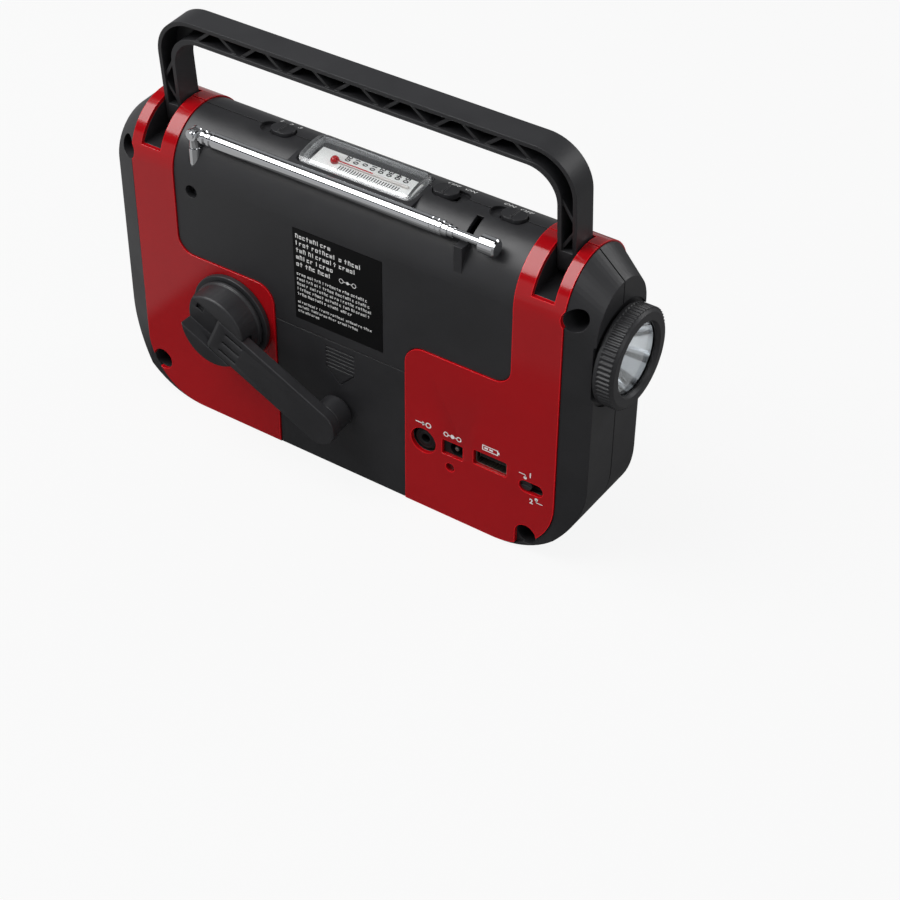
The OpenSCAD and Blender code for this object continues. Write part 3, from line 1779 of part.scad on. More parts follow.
rear_shell();
front_shell();
rear_trim_left();
rear_trim_right();
front_trim_left();
front_trim_right();
screws();
rating_label();
lamp_ring();
lamp_lens();
lamp_reflector();
lamp_led();
thermometer_window();
thermometer_card();
thermometer_tube();
line_in_jack();
dc_jack();
usb_socket();
charge_led();
jack_board();
selector_body();
switch_bodies();
main_board();
dial_plate();
tuning_capacitor();
volume_pot();
speaker();
speaker_grille();
lantern_lens();
lantern_board();
battery_contacts();
battery_cells();
rechargeable_pack();
crank_bush();
gear_plate();
generator();
handle();
crank_hub();
crank_shaft();
drive_gear();
crank_hinge_pin();
crank_arm();
grip_pin();
crank_grip();
idler_gear();
generator_pinion();
antenna_base();
antenna_rivet();
antenna_tube_1();
antenna_tube_2();
antenna_tube_3();
antenna_rod();
band_switch();
power_switch();
lamp_switch();
battery_selector();
battery_door();
tuning_knob();
volume_knob();
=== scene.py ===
"""Looks of a hand crank emergency radio: finishes, rounded mouldings, prints and small fittings."""

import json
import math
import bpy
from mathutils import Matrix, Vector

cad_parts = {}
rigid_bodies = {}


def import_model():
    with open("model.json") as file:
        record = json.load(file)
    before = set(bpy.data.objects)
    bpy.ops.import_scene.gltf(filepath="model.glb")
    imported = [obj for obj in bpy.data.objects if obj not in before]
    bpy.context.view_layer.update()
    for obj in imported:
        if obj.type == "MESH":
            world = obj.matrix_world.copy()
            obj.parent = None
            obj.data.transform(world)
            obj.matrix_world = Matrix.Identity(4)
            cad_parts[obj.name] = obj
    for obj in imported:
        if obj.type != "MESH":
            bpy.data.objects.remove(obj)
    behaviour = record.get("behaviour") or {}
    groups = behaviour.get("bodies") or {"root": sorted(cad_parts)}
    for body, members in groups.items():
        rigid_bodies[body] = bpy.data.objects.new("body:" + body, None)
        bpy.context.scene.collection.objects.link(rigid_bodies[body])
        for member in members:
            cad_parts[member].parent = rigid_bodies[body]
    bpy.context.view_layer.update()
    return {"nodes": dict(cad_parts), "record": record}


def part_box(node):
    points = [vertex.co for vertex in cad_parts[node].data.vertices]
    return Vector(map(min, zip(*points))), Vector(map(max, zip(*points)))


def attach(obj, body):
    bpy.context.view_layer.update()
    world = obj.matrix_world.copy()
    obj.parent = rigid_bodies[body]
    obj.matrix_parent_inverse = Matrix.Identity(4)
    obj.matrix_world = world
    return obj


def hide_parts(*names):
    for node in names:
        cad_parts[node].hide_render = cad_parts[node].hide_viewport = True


bl_info = {
    "name": "Hand crank radio looks",
    "version": (1, 0, 0),
    "blender": (4, 5, 0),
    "location": "3D View > Sidebar > Radio",
    "description": "Dresses the radio's CAD frame with mouldings, prints, fittings and a studio",
    "category": "Object",
}

import bmesh
import bpy
from mathutils import Matrix, Vector

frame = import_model()
MM = 0.001

# Places in the CAD, in millimetres and degrees
MOUNTS = {mount["name"]: Vector(mount["pos_m"]) / MM for mount in frame["record"]["mounts"]}
SHOULDER_R = 20.5      # rounded top of the case
SHOULDER_Z = 105.5     # height of its axis
CARD_R = 18.1          # face of the thermometer card, from the same axis
CARD_LEAN = 8.0        # lean of the card to the rear
PRINT_LIFT = 0.02      # ink over what it is printed on

TRIMS = ("rear_trim_left", "rear_trim_right", "front_trim_left", "front_trim_right")
# Black pieces that are drawn again with rounded edges, and the radius of the edges
BLACK_MOULDINGS = {
    "handle": 0.5, "crank_hub": 0.4, "crank_arm": 0.45, "crank_bush": 0.4,
    "band_switch": 0.3, "power_switch": 0.3, "lamp_switch": 0.3,
    "battery_selector": 0.25, "tuning_knob": 0.4, "volume_knob": 0.35,
}
# Turned fittings, as radius and height
RING_PROFILE = (
    (1.85, -0.9), (1.85, 0.04), (2.05, 0.16), (2.75, 0.16), (3.0, -0.02), (3.0, -0.1), (2.2, -0.9),
)
SLEEVE_PROFILE = (
    (0.02, 0.1), (0.5, 0.09), (0.85, -0.02), (1.06, -0.3),
    (1.06, -8.9), (1.01, -8.9), (1.01, -0.02), (0.02, -0.02),
)
# Strokes that stand for print on the label, as bars in a cell one wide and one high
MARKS = (
    ((0.0, 0.0, 0.28, 1.0), (0.28, 0.72, 0.7, 0.96), (0.7, 0.0, 0.98, 0.8)),
    ((0.0, 0.0, 0.26, 0.74), (0.26, 0.0, 0.7, 0.2), (0.7, 0.0, 0.96, 0.74), (0.26, 0.54, 0.7, 0.74)),
    ((0.1, 0.0, 0.4, 1.0),),
    ((0.0, 0.0, 0.28, 0.74), (0.28, 0.0, 0.9, 0.2), (0.28, 0.54, 0.9, 0.74)),
    ((0.3, 0.0, 0.58, 1.0), (0.0, 0.54, 0.9, 0.74)),
    ((0.0, 0.0, 0.28, 0.74), (0.28, 0.5, 0.8, 0.74)),
    ((0.0, 0.0, 0.26, 0.74), (0.37, 0.0, 0.6, 0.74), (0.74, 0.0, 1.0, 0.74)),
)
# Cell, step from cell to cell and gap after a run, as shares of the height of the strokes
MARK_WIDE, MARK_STEP, MARK_GAP = 0.62, 0.84, 0.45
# Rows of the label: drop from its top edge, height of the strokes, lengths of the runs
LABEL_ROWS = (
    (2.0, 1.9, (17,)), (5.0, 1.9, (7, 11, 2, 8)), (8.0, 1.9, (5, 13, 9)), (11.0, 1.9, (8, 9)),
    (14.0, 1.9, (4, 5, 7)),
    (18.6, 1.25, (4, 7, 9, 3, 8)), (20.8, 1.25, (8, 3, 6, 9, 7)), (23.0, 1.25, (5, 9, 4, 7, 8)),
    (25.2, 1.25, (7, 6, 8, 3, 9)), (27.4, 1.25, (4, 9, 6, 5)),
    (31.0, 1.1, (9, 5, 7, 8, 4)), (33.0, 1.1, (6, 8, 4, 9)), (35.0, 1.1, (3, 7)),
)
# Cell outline with its cap and two bars, as bars about a middle point
CELL_SIGN = (
    (-3.4, -1.2, 3.4, -0.8), (-3.4, 0.8, 3.4, 1.2), (-3.4, -0.8, -3.0, 0.8), (3.0, -0.8, 3.4, 0.8),
    (3.4, -0.5, 4.0, 0.5), (-2.5, -0.4, -0.9, 0.4), (-0.4, -0.4, 1.2, 0.4),
)

# Shader values that come up again: a noise stays mostly in this range, a wave at scale 1 has a band
# this long, and these are the sockets of a Mix node that blends colours
NOISE = {"From Min": 0.3, "From Max": 0.7}
WAVE = math.pi / 10
MIX_A, MIX_B, MIX_OUT = 6, 7, 2


# Small tools

def linear(code):
    """Linear colour with alpha from an sRGB hex code such as 9C1A20."""
    values = [int(code[i:i + 2], 16) / 255 for i in (0, 2, 4)]
    return tuple(v / 12.92 if v <= 0.04045 else ((v + 0.055) / 1.055) ** 2.4 for v in values) + (1.0,)


def shade(colour, factor):
    """A colour made lighter or darker, with alpha."""
    return tuple(min(1.0, c * factor) for c in tuple(colour)[:3]) + (1.0,)


def clear_old(kind, name):
    """Removes what an earlier run of an operator left under that name."""
    old = kind.get(name)
    if old:
        kind.remove(old)


def middle(node, axis):
    """Middle of a CAD node along an axis, in millimetres."""
    low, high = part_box(node)
    return (low[axis] + high[axis]) / 2 / MM


def add(tree, kind, inputs=None, out=0, **settings):
    """Adds a shader node with its settings and links, and gives one of its outputs."""
    node = tree.nodes.new("ShaderNode" + kind)
    for key, value in settings.items():
        setattr(node, key, value)
    for key, value in (inputs or {}).items():
        if isinstance(value, bpy.types.NodeSocket):
            tree.links.new(value, node.inputs[key])
        else:
            node.inputs[key].default_value = value
    return node.outputs[out] if node.outputs else node


def new_material(name):
    """An empty node material, its tree, and the point on the piece in millimetres."""
    clear_old(bpy.data.materials, name)
    mat = bpy.data.materials.new(name)
    mat.use_nodes = True
    tree = mat.node_tree
    tree.nodes.clear()
    point = add(tree, "TexCoord", out="Object")
    return mat, tree, add(tree, "VectorMath", {0: point, "Scale": 1.0 / MM}, operation="SCALE")


# Materials, each named for what it is made of and how; sizes of patterns in millimetres

def spark_eroded_abs(name, colour, grain, edge):
    """Moulded black plastic: eroded grain that greys the highlights, with edges that catch the light."""
    mat, tree, place = new_material(name)
    flow_size, grain_depth = 14.0, 0.03
    # The real grain is about 0.1 mm and would not show, so it is drawn coarser
    fine = add(tree, "TexNoise", {
        "Vector": place, "Scale": 1 / grain, "Detail": 3.0, "Roughness": 0.7}, "Fac")
    flow = add(tree, "TexNoise", {"Vector": place, "Scale": 1 / flow_size}, "Fac")
    soft = add(tree, "Bevel", {"Radius": edge}, samples=6)
    add(tree, "OutputMaterial", {"Surface": add(tree, "BsdfPrincipled", {
        "Base Color": add(tree, "Mix", {
            "Factor": flow, MIX_A: shade(colour, 0.85), MIX_B: shade(colour, 1.2)},
            MIX_OUT, data_type="RGBA"),
        "Roughness": add(tree, "MapRange", {"Value": flow, **NOISE, "To Min": 0.38, "To Max": 0.48}),
        "IOR": 1.53,
        "Normal": add(tree, "Bump", {
            "Height": fine, "Distance": grain_depth * MM, "Strength": 0.5, "Normal": soft}),
    })})
    return mat


def polished_abs(name, colour, edge):
    """Glossy red plastic: clear reflections, slight waviness of the mould and fine rubs along it."""
    mat, tree, place = new_material(name)
    wave_size, wave_depth = 22.0, 0.05
    # Real rubs are thinner than a hair and would not show, so they are drawn 0.5 mm apart
    rub_size, rub_depth, rub_stretch = 0.5, 0.004, 0.06
    wave = add(tree, "TexNoise", {"Vector": place, "Scale": 1 / wave_size, "Detail": 1.0}, "Fac")
    drawn = add(tree, "Mapping", {"Vector": place, "Scale": (rub_stretch, 1.0, 1.0)})
    rubs = add(tree, "TexNoise", {"Vector": drawn, "Scale": 1 / rub_size}, "Fac")
    flow = add(tree, "Bump", {"Height": wave, "Distance": wave_depth * MM, "Strength": 0.35})
    deep = add(tree, "Mix", {
        "Factor": wave, MIX_A: shade(colour, 0.93), MIX_B: shade(colour, 1.07)},
        MIX_OUT, data_type="RGBA")
    # The light that the rim's small radius gathers is too fine to show, so the rim is drawn lighter
    soft = add(tree, "Bevel", {"Radius": edge}, samples=8)
    flat = add(tree, "NewGeometry", out="True Normal")
    turn = add(tree, "VectorMath", {0: soft, 1: flat}, "Value", operation="DOT_PRODUCT")
    rim = add(tree, "MapRange", {"Value": turn, "From Min": 0.98, "From Max": 0.85})
    add(tree, "OutputMaterial", {"Surface": add(tree, "BsdfPrincipled", {
        "Base Color": add(tree, "Mix", {
            "Factor": rim, MIX_A: deep, MIX_B: shade(colour, 2.4)}, MIX_OUT, data_type="RGBA"),
        "Roughness": add(tree, "MapRange", {
            "Value": rubs, "From Min": 0.35, "From Max": 0.75, "To Min": 0.1, "To Max": 0.18}),
        "Specular IOR Level": 0.42,
        "IOR": 1.53,
        "Coat Weight": 0.1,
        "Coat Roughness": 0.05,
        "Normal": add(tree, "Bump", {
            "Height": rubs, "Distance": rub_depth * MM, "Strength": 0.3, "Normal": flow}),
    })})
    return mat


def drawn_metal(name, low, high, rough, draw, depth=0.004):
    """Metal with fine drawing lines along its length and a little tarnish between them."""
    mat, tree, place = new_material(name)
    # Real drawing lines are a few hundredths apart and would not show, so they are drawn coarser
    line_size = 0.35
    drawn = add(tree, "Mapping", {"Vector": place, "Scale": draw})
    lines = add(tree, "TexNoise", {"Vector": drawn, "Scale": 1 / line_size, "Detail": 3.0}, "Fac")
    add(tree, "OutputMaterial", {"Surface": add(tree, "BsdfPrincipled", {
        "Base Color": add(tree, "Mix", {
            "Factor": lines, MIX_A: linear(low), MIX_B: linear(high)}, MIX_OUT, data_type="RGBA"),
        "Metallic": 1.0,
        "Roughness": add(tree, "MapRange", {
            "Value": lines, **NOISE, "To Min": rough, "To Max": rough * 1.8}),
        "Normal": add(tree, "Bump", {"Height": lines, "Distance": depth * MM, "Strength": 0.4}),
    })})
    return mat


def clear_plastic(name, colour, ior, walls):
    """Clear moulded plastic: bright edges, a trace of haze, and side walls that may be paler."""
    mat, tree, place = new_material(name)
    haze_size = 9.0
    haze = add(tree, "TexNoise", {"Vector": place, "Scale": 1 / haze_size}, "Fac")
    facing = add(tree, "SeparateXYZ", {0: add(tree, "NewGeometry", out="Normal")}).node.outputs["Z"]
    body = add(tree, "BsdfPrincipled", {
        "Base Color": linear(colour),
        "Roughness": add(tree, "MapRange", {"Value": haze, **NOISE, "To Min": 0.0, "To Max": 0.02}),
        "IOR": ior,
        "Transmission Weight": add(tree, "MapRange", {
            "Value": facing, "From Min": 0.8, "From Max": 0.95, "To Min": walls}),
    })
    # Lamp light goes through to what lies behind, less what the two faces throw back
    through = add(tree, "BsdfTransparent", {"Color": linear("F5F5F5")})
    shadow = add(tree, "LightPath", out="Is Shadow Ray")
    add(tree, "OutputMaterial", {"Surface": add(tree, "MixShader", {0: shadow, 1: body, 2: through})})
    return mat


def milky_acrylic(name, low, high):
    """Milk-white diffuser: light goes in and comes out softened, over fine vertical prisms."""
    mat, tree, place = new_material(name)
    prism_pitch, prism_depth, cloud_size, soak = 0.7, 0.12, 6.0, 4.0
    prisms = add(tree, "TexWave", {"Vector": place, "Scale": WAVE / prism_pitch}, "Fac", bands_direction="X")
    cloud = add(tree, "TexNoise", {"Vector": place, "Scale": 1 / cloud_size}, "Fac")
    add(tree, "OutputMaterial", {"Surface": add(tree, "BsdfPrincipled", {
        "Base Color": add(tree, "Mix", {
            "Factor": cloud, MIX_A: linear(low), MIX_B: linear(high)}, MIX_OUT, data_type="RGBA"),
        "Roughness": add(tree, "MapRange", {"Value": prisms, "To Min": 0.22, "To Max": 0.36}),
        "IOR": 1.49,
        "Subsurface Weight": 0.6,
        "Subsurface Radius": (soak * MM,) * 3,
        "Normal": add(tree, "Bump", {"Height": prisms, "Distance": prism_depth * MM, "Strength": 0.6}),
    })})
    return mat


def matt_solid(name, low, high, size, rough, depth=0.02):
    """Plain dull stuff with its own mottle, of that size: card, sleeve, paper, nylon, board or ink."""
    mat, tree, place = new_material(name)
    mottle = add(tree, "TexNoise", {
        "Vector": place, "Scale": 1 / size, "Detail": 4.0, "Roughness": 0.6}, "Fac")
    add(tree, "OutputMaterial", {"Surface": add(tree, "BsdfPrincipled", {
        "Base Color": add(tree, "Mix", {
            "Factor": mottle, MIX_A: linear(low), MIX_B: linear(high)}, MIX_OUT, data_type="RGBA"),
        "Roughness": add(tree, "MapRange", {
            "Value": mottle, **NOISE, "To Min": rough, "To Max": min(1.0, rough + 0.14)}),
        "Normal": add(tree, "Bump", {"Height": mottle, "Distance": depth * MM, "Strength": 0.5}),
    })})
    return mat


def film(name, low, high):
    """Printed polyester film: satin black with slight ripples where it is stuck down."""
    mat, tree, place = new_material(name)
    ripple_size, ripple_depth = 7.0, 0.02
    ripple = add(tree, "TexNoise", {"Vector": place, "Scale": 1 / ripple_size, "Detail": 1.0}, "Fac")
    add(tree, "OutputMaterial", {"Surface": add(tree, "BsdfPrincipled", {
        "Base Color": add(tree, "Mix", {
            "Factor": ripple, MIX_A: linear(low), MIX_B: linear(high)}, MIX_OUT, data_type="RGBA"),
        "Roughness": add(tree, "MapRange", {"Value": ripple, **NOISE, "To Min": 0.26, "To Max": 0.36}),
        "Specular IOR Level": 0.25,
        "Normal": add(tree, "Bump", {"Height": ripple, "Distance": ripple_depth * MM, "Strength": 0.4}),
    })})
    return mat


def spirit_glass(name, red, pale, bulb_x, end_x, axis_y):
    """Glass capillary: red spirit in the bulb and in a thin thread up to the reading, pale glass round it."""
    mat, tree, place = new_material(name)
    thread_r, blur, end_blur, wave_size = 0.3, 0.1, 0.2, 2.0
    spot = add(tree, "SeparateXYZ", {0: place}).node.outputs
    aside = add(tree, "Math", {0: spot["Y"], 1: axis_y}, operation="SUBTRACT")
    wide = add(tree, "MapRange", {
        "Value": add(tree, "Math", {0: aside}, operation="ABSOLUTE"),
        "From Min": thread_r, "From Max": thread_r + blur})
    stem = add(tree, "MapRange", {
        "Value": spot["X"], "From Min": bulb_x, "From Max": bulb_x + end_blur})
    glass = add(tree, "Math", {0: wide, 1: stem}, operation="MULTIPLY")
    beyond = add(tree, "MapRange", {
        "Value": spot["X"], "From Min": end_x, "From Max": end_x + end_blur})
    clear = add(tree, "Math", {0: glass, 1: beyond}, operation="MAXIMUM")
    wave = add(tree, "TexNoise", {"Vector": place, "Scale": 1 / wave_size}, "Fac")
    add(tree, "OutputMaterial", {"Surface": add(tree, "BsdfPrincipled", {
        "Base Color": add(tree, "Mix", {
            "Factor": clear, MIX_A: shade(red, 1.0), MIX_B: linear(pale)}, MIX_OUT, data_type="RGBA"),
        "Roughness": add(tree, "MapRange", {"Value": wave, "To Min": 0.04, "To Max": 0.1}),
        "IOR": 1.5,
        "Coat Weight": 0.6,
        "Coat Roughness": 0.03,
    })})
    return mat


def woven(name, low, high, pitch):
    """Plain weave of the speaker cloth: threads over and under at the real pitch."""
    mat, tree, place = new_material(name)
    thread_depth = 0.15
    warp, weft = (
        add(tree, "TexWave", {"Vector": place, "Scale": WAVE / pitch}, "Fac", bands_direction=way)
        for way in ("X", "Z")
    )
    thread = add(tree, "Math", {0: warp, 1: weft}, operation="MULTIPLY")
    add(tree, "OutputMaterial", {"Surface": add(tree, "BsdfPrincipled", {
        "Base Color": add(tree, "Mix", {
            "Factor": thread, MIX_A: linear(low), MIX_B: linear(high)}, MIX_OUT, data_type="RGBA"),
        "Roughness": add(tree, "MapRange", {"Value": thread, "To Min": 0.9, "To Max": 0.7}),
        "Normal": add(tree, "Bump", {"Height": thread, "Distance": thread_depth * MM, "Strength": 0.8}),
    })})
    return mat


# Mesh tools; sizes in millimetres, angles in degrees

def obj_from(bm, name, mat, body, smooth=None):
    """A new piece from a bmesh, with its material, body and slot, smooth up to an angle if one is given."""
    clear_old(bpy.data.objects, name)
    mesh = bpy.data.meshes.new(name)
    bm.to_mesh(mesh)
    bm.free()
    mesh.materials.append(mat)
    if smooth is not None:
        mesh.shade_smooth()
        mesh.set_sharp_from_angle(angle=math.radians(smooth))
    obj = bpy.data.objects.new(name, mesh)
    bpy.context.scene.collection.objects.link(obj)
    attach(obj, body)
    return obj


def body_of_node(node):
    """The CAD body that holds a node."""
    bodies = frame["record"]["behaviour"]["bodies"]
    return next(body for body, nodes in bodies.items() if node in nodes)


def moulded(node, mat, radius, segments=2):
    """The CAD node again with its sharp edges rounded, as a mould leaves them."""
    weld, flat, sharp = 0.002, 0.2, 33
    bm = bmesh.new()
    bm.from_mesh(frame["nodes"][node].data)
    bmesh.ops.remove_doubles(bm, verts=bm.verts, dist=weld * MM)
    bmesh.ops.dissolve_limit(bm, angle_limit=math.radians(flat), verts=bm.verts, edges=bm.edges)
    obj = obj_from(bm, node + "_moulded", mat, body_of_node(node), smooth=40)
    edge = obj.modifiers.new("rounded_edges", "BEVEL")
    edge.width = radius * MM
    edge.segments = segments
    edge.limit_method = "ANGLE"
    edge.angle_limit = math.radians(sharp)
    edge.use_clamp_overlap = True
    edge.miter_outer = "MITER_ARC"
    edge.harden_normals = True
    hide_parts(node)
    return obj


def spokes(sides):
    """Cosine and sine of each of the equal steps round a circle."""
    return [(math.cos(2 * math.pi * k / sides), math.sin(2 * math.pi * k / sides)) for k in range(sides)]


def lathe(bm, profile, matrix, sides=48):
    """A closed ring or knob turned about local Z from (radius, height) points."""
    rows = [
        [bm.verts.new(matrix @ (Vector((r * c, r * s, h)) * MM)) for r, h in profile]
        for c, s in spokes(sides)
    ]
    for k, here in enumerate(rows):
        there = rows[(k + 1) % sides]
        for i in range(len(profile)):
            j = (i + 1) % len(profile)
            bm.faces.new((here[i], there[i], there[j], here[j]))
    bmesh.ops.recalc_face_normals(bm, faces=bm.faces)


def block(bm, low, high):
    """A block between two corners, one part of a fitting."""
    low, high = Vector(low) * MM, Vector(high) * MM
    for v in bmesh.ops.create_cube(bm, size=1.0)["verts"]:
        v.co = Vector([(low[i] + high[i]) / 2 + v.co[i] * (high[i] - low[i]) for i in range(3)])


def round_all(bm, radius):
    """Rounds every edge of a small moulding."""
    bmesh.ops.bevel(bm, geom=bm.edges[:], offset=radius * MM, segments=2, affect="EDGES")


# Print tools: to_world takes a point of the print's own plane to the scene

def patch(bm, to_world, points):
    """A flat printed shape with those corners."""
    bm.faces.new([bm.verts.new(to_world(x, y)) for x, y in points])


def bar(bm, to_world, x0, y0, x1, y1):
    """A printed bar between two corners."""
    patch(bm, to_world, ((x0, y0), (x1, y0), (x1, y1), (x0, y1)))


def disc(bm, to_world, x, y, outer, inner=0.0, sides=24):
    """A printed dot, or a ring if it has an inner radius."""
    rim = [bm.verts.new(to_world(x + outer * c, y + outer * s)) for c, s in spokes(sides)]
    if not inner:
        bm.faces.new(rim)
        return
    hole = [bm.verts.new(to_world(x + inner * c, y + inner * s)) for c, s in spokes(sides)]
    for k in range(sides):
        j = (k + 1) % sides
        bm.faces.new((rim[k], rim[j], hole[j], hole[k]))


def polarity(bm, to_world, x, y, ring, hole, dot, lead, half):
    """Sign of a centre pin: a dot between two rings, with a lead to each from and to that far off."""
    pitch = 2.8
    disc(bm, to_world, x - pitch, y, ring, hole)
    disc(bm, to_world, x, y, dot)
    disc(bm, to_world, x + pitch, y, ring, hole)
    near, far = lead
    bar(bm, to_world, x - far, y - half, x - near, y + half)
    bar(bm, to_world, x + near, y - half, x + far, y + half)


def words(bm, to_world, text, x, y, height, weight=0.0, turn=0.0):
    """Printed numbers or letters about a middle point, thickened by weight and turned by an angle."""
    # Letters are lower than the size that a font is given
    size_for_height = 1.4
    curve = bpy.data.curves.new("print", "FONT")
    curve.body = text
    curve.align_x = "CENTER"
    curve.align_y = "CENTER"
    curve.size = height * size_for_height
    curve.resolution_u = 3
    curve.offset = weight
    holder = bpy.data.objects.new("print", curve)
    mesh = bpy.data.meshes.new_from_object(holder)
    c, s = math.cos(math.radians(turn)), math.sin(math.radians(turn))
    start = len(bm.verts)
    bm.from_mesh(mesh)
    bm.verts.ensure_lookup_table()
    for v in bm.verts[start:]:
        u, w = v.co.x, v.co.y
        v.co = to_world(x + u * c - w * s, y + u * s + w * c)
    bpy.data.objects.remove(holder)
    bpy.data.meshes.remove(mesh)
    bpy.data.curves.remove(curve)


def marks(bm, to_world, x, y, tall, end, seed):
    """A run of plain strokes in the rhythm of print, without words; gives the x where the next run starts."""
    wide = MARK_WIDE * tall
    k = seed
    while x + wide <= end:
        for a, b, c, d in MARKS[k % len(MARKS)]:
            bar(bm, to_world, x + a * wide, y + b * tall, x + c * wide, y + d * tall)
        x += MARK_STEP * tall
        k += 1 + k % 3
    return x + MARK_GAP * tall


def on_face(level):
    """Upright plane at that y: x along the case and z up, as in the CAD."""
    return lambda x, z: Vector((x, level, z)) * MM


def on_top(lift):
    """Skin of the rounded top, lifted a little: x along the case, y round it towards the front."""
    def place(x, y):
        a = y / SHOULDER_R
        r = SHOULDER_R + lift
        return Vector((x, r * math.sin(a), SHOULDER_Z + r * math.cos(a))) * MM
    return place


def on_card(lift):
    """Face of the thermometer card, lifted a little: x along it, y up its lean."""
    c, s = math.cos(math.radians(CARD_LEAN)), math.sin(math.radians(CARD_LEAN))
    def place(x, y):
        r = CARD_R + lift
        return Vector((x, y * c - r * s, SHOULDER_Z + y * s + r * c)) * MM
    return place


# Sizes and colours that a user would change

class RadioLook(bpy.types.PropertyGroup):
    """Sizes and colours of the radio's looks"""
    case_colour: bpy.props.FloatVectorProperty(
        name="Case colour", description="Colour of the case, handle, crank and knobs",
        default=linear("28282A")[:3], min=0.0, max=1.0, subtype="COLOR")
    trim_colour: bpy.props.FloatVectorProperty(
        name="Trim colour", description="Colour of the four glossy trims",
        default=linear("A80D15")[:3], min=0.0, max=1.0, subtype="COLOR")
    spirit_colour: bpy.props.FloatVectorProperty(
        name="Spirit colour", description="Colour of the spirit in the thermometer",
        default=linear("B01018")[:3], min=0.0, max=1.0, subtype="COLOR")
    edge: bpy.props.FloatProperty(
        name="Edge radius", description="Radius of the moulded edges of the case",
        default=0.35 * MM, min=0.1 * MM, max=0.6 * MM, unit="LENGTH", precision=5)
    trim_edge: bpy.props.FloatProperty(
        name="Trim edge radius", description="Radius of the edges of the red trims",
        default=0.75 * MM, min=0.2 * MM, max=0.8 * MM, unit="LENGTH", precision=5)
    grain: bpy.props.FloatProperty(
        name="Grain", description="Size of the eroded grain on the black mouldings",
        default=0.3 * MM, min=0.1 * MM, max=1.0 * MM, unit="LENGTH", precision=5)
    reading: bpy.props.FloatProperty(
        name="Reading", description="Place along the card where the red spirit ends",
        default=4.0 * MM, min=-10.0 * MM, max=18.0 * MM, unit="LENGTH", precision=5)
    bands: bpy.props.IntProperty(
        name="Bands", description="Polished bands down the lamp reflector", default=6, min=2, max=12)


# One operator for each group of pieces

class RADIO_OT_finishes(bpy.types.Operator):
    """Makes the materials and gives every CAD node the one of its slot"""
    bl_idname = "radio.finishes"
    bl_label = "Finishes"

    def execute(self, context):
        look = context.scene.radio_look
        low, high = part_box("thermometer_tube")
        # The bulb is as long as it is wide
        bulb_end = (low[0] + high[1] - low[1]) / MM
        # How the lines of a metal are stretched
        along_x, along_y, even = (0.02, 1.0, 1.0), (1.0, 0.05, 1.0), (1.0, 1.0, 1.0)
        made = {
            # Rear and front shells, handle, crank: dull charcoal black
            "black_abs": spark_eroded_abs(
                "abs_black_spark_eroded", look.case_colour, look.grain / MM, look.edge),
            # Trims: deep glossy red
            "red_abs": polished_abs("abs_red_polished", look.trim_colour, look.trim_edge),
            # Aerial: bright mirror with long drawn lines
            "chrome_plate": drawn_metal("brass_chrome_plated", "DEE0E2", "F0F1F3", 0.06, along_x, 0.0008),
            # Shafts, pins, socket shell: greyer than the chrome
            "steel": drawn_metal("steel_nickel_plated", "A9A79F", "C4C2BA", 0.22, along_y),
            # Case screws: near-black with a metal glint
            "black_screw": drawn_metal("steel_black_oxide", "2B2B2E", "47474C", 0.3, even),
            # Rating label: satin black film
            "label_film": film("polyester_film_printed", "060607", "0B0B0C"),
            # Lamp lens: clear
            "clear_acrylic": clear_plastic("acrylic_clear_moulded", "F7FAFB", 1.49, 1.0),
            # Lantern on the front: milk white
            "milky_lens": milky_acrylic("acrylic_milky_moulded", "E4E4DE", "F0F0EA"),
            # Thermometer card: white coated card
            "white_card": matt_solid("card_white_coated", "E9E9E6", "F5F5F3", 0.6, 0.5, 0.004),
            # Thermometer capillary: red spirit in glass
            "red_glass": spirit_glass(
                "spirit_red_in_glass", look.spirit_colour, "DDD6D2",
                bulb_end, look.reading / MM, middle("thermometer_tube", 1)),
            # Light source: cream phosphor under a clear dome
            "lamp_cream": matt_solid("led_phosphor_cream", "E6DDAF", "F3ECC9", 0.8, 0.25, 0.01),
            # Sockets and switch bodies: satin black nylon
            "socket_black": matt_solid("nylon_black_moulded", "0F0F10", "19191B", 0.5, 0.38, 0.01),
            # Boards: green solder mask
            "circuit_board": matt_solid("fibreglass_solder_masked", "12402A", "1C5A3B", 1.2, 0.35, 0.02),
            # Gears: off-white acetal
            "nylon": matt_solid("acetal_natural_moulded", "DCD8CA", "EAE7DC", 1.5, 0.4, 0.01),
            # Speaker: grey pulp paper
            "speaker_grey": matt_solid("paper_pulp_grey", "4C4C4F", "68686B", 0.7, 0.8, 0.06),
            # Cells: shrunk plastic sleeve
            "cell_wrap": matt_solid("pvc_sleeve_shrunk", "3C4A57", "4E5D6B", 3.0, 0.3, 0.02),
        }
        # The rest are not CAD slots. Prints: dull ink, white or black
        matt_solid("ink_white_pad_printed", "E6E6E4", "F6F6F5", 0.25, 0.55, 0.006)
        matt_solid("ink_black_printed", "060607", "0E0E0F", 0.25, 0.6, 0.006)
        # Reflector: a clean mirror without drawn lines
        drawn_metal("polymer_aluminised", "D3D5D8", "EFF0F2", 0.05, even, 0.002)
        # Contacts of the charging socket: soft gold
        drawn_metal("bronze_gold_plated", "B98A3C", "D2A657", 0.2, along_y)
        # Thermometer window: clear on top, pale at its moulded walls
        clear_plastic("polystyrene_clear_moulded", "F2F4F5", 1.59, 0.75)
        # Cloth behind the grille: near-black, with threads that just show
        woven("polyester_cloth_woven", "060607", "1B1B1D", 0.5)
        # Charging light: dark red while it is off
        tinted = matt_solid("polycarbonate_red_tinted", "4A0A0C", "6A1014", 0.9, 0.18, 0.004)
        for node in frame["nodes"].values():
            slot = node.data.materials[0].name.split(".")[0]
            node.material_slots[0].link = "OBJECT"
            node.material_slots[0].material = made[slot]
        frame["nodes"]["charge_led"].material_slots[0].material = tinted
        return {"FINISHED"}


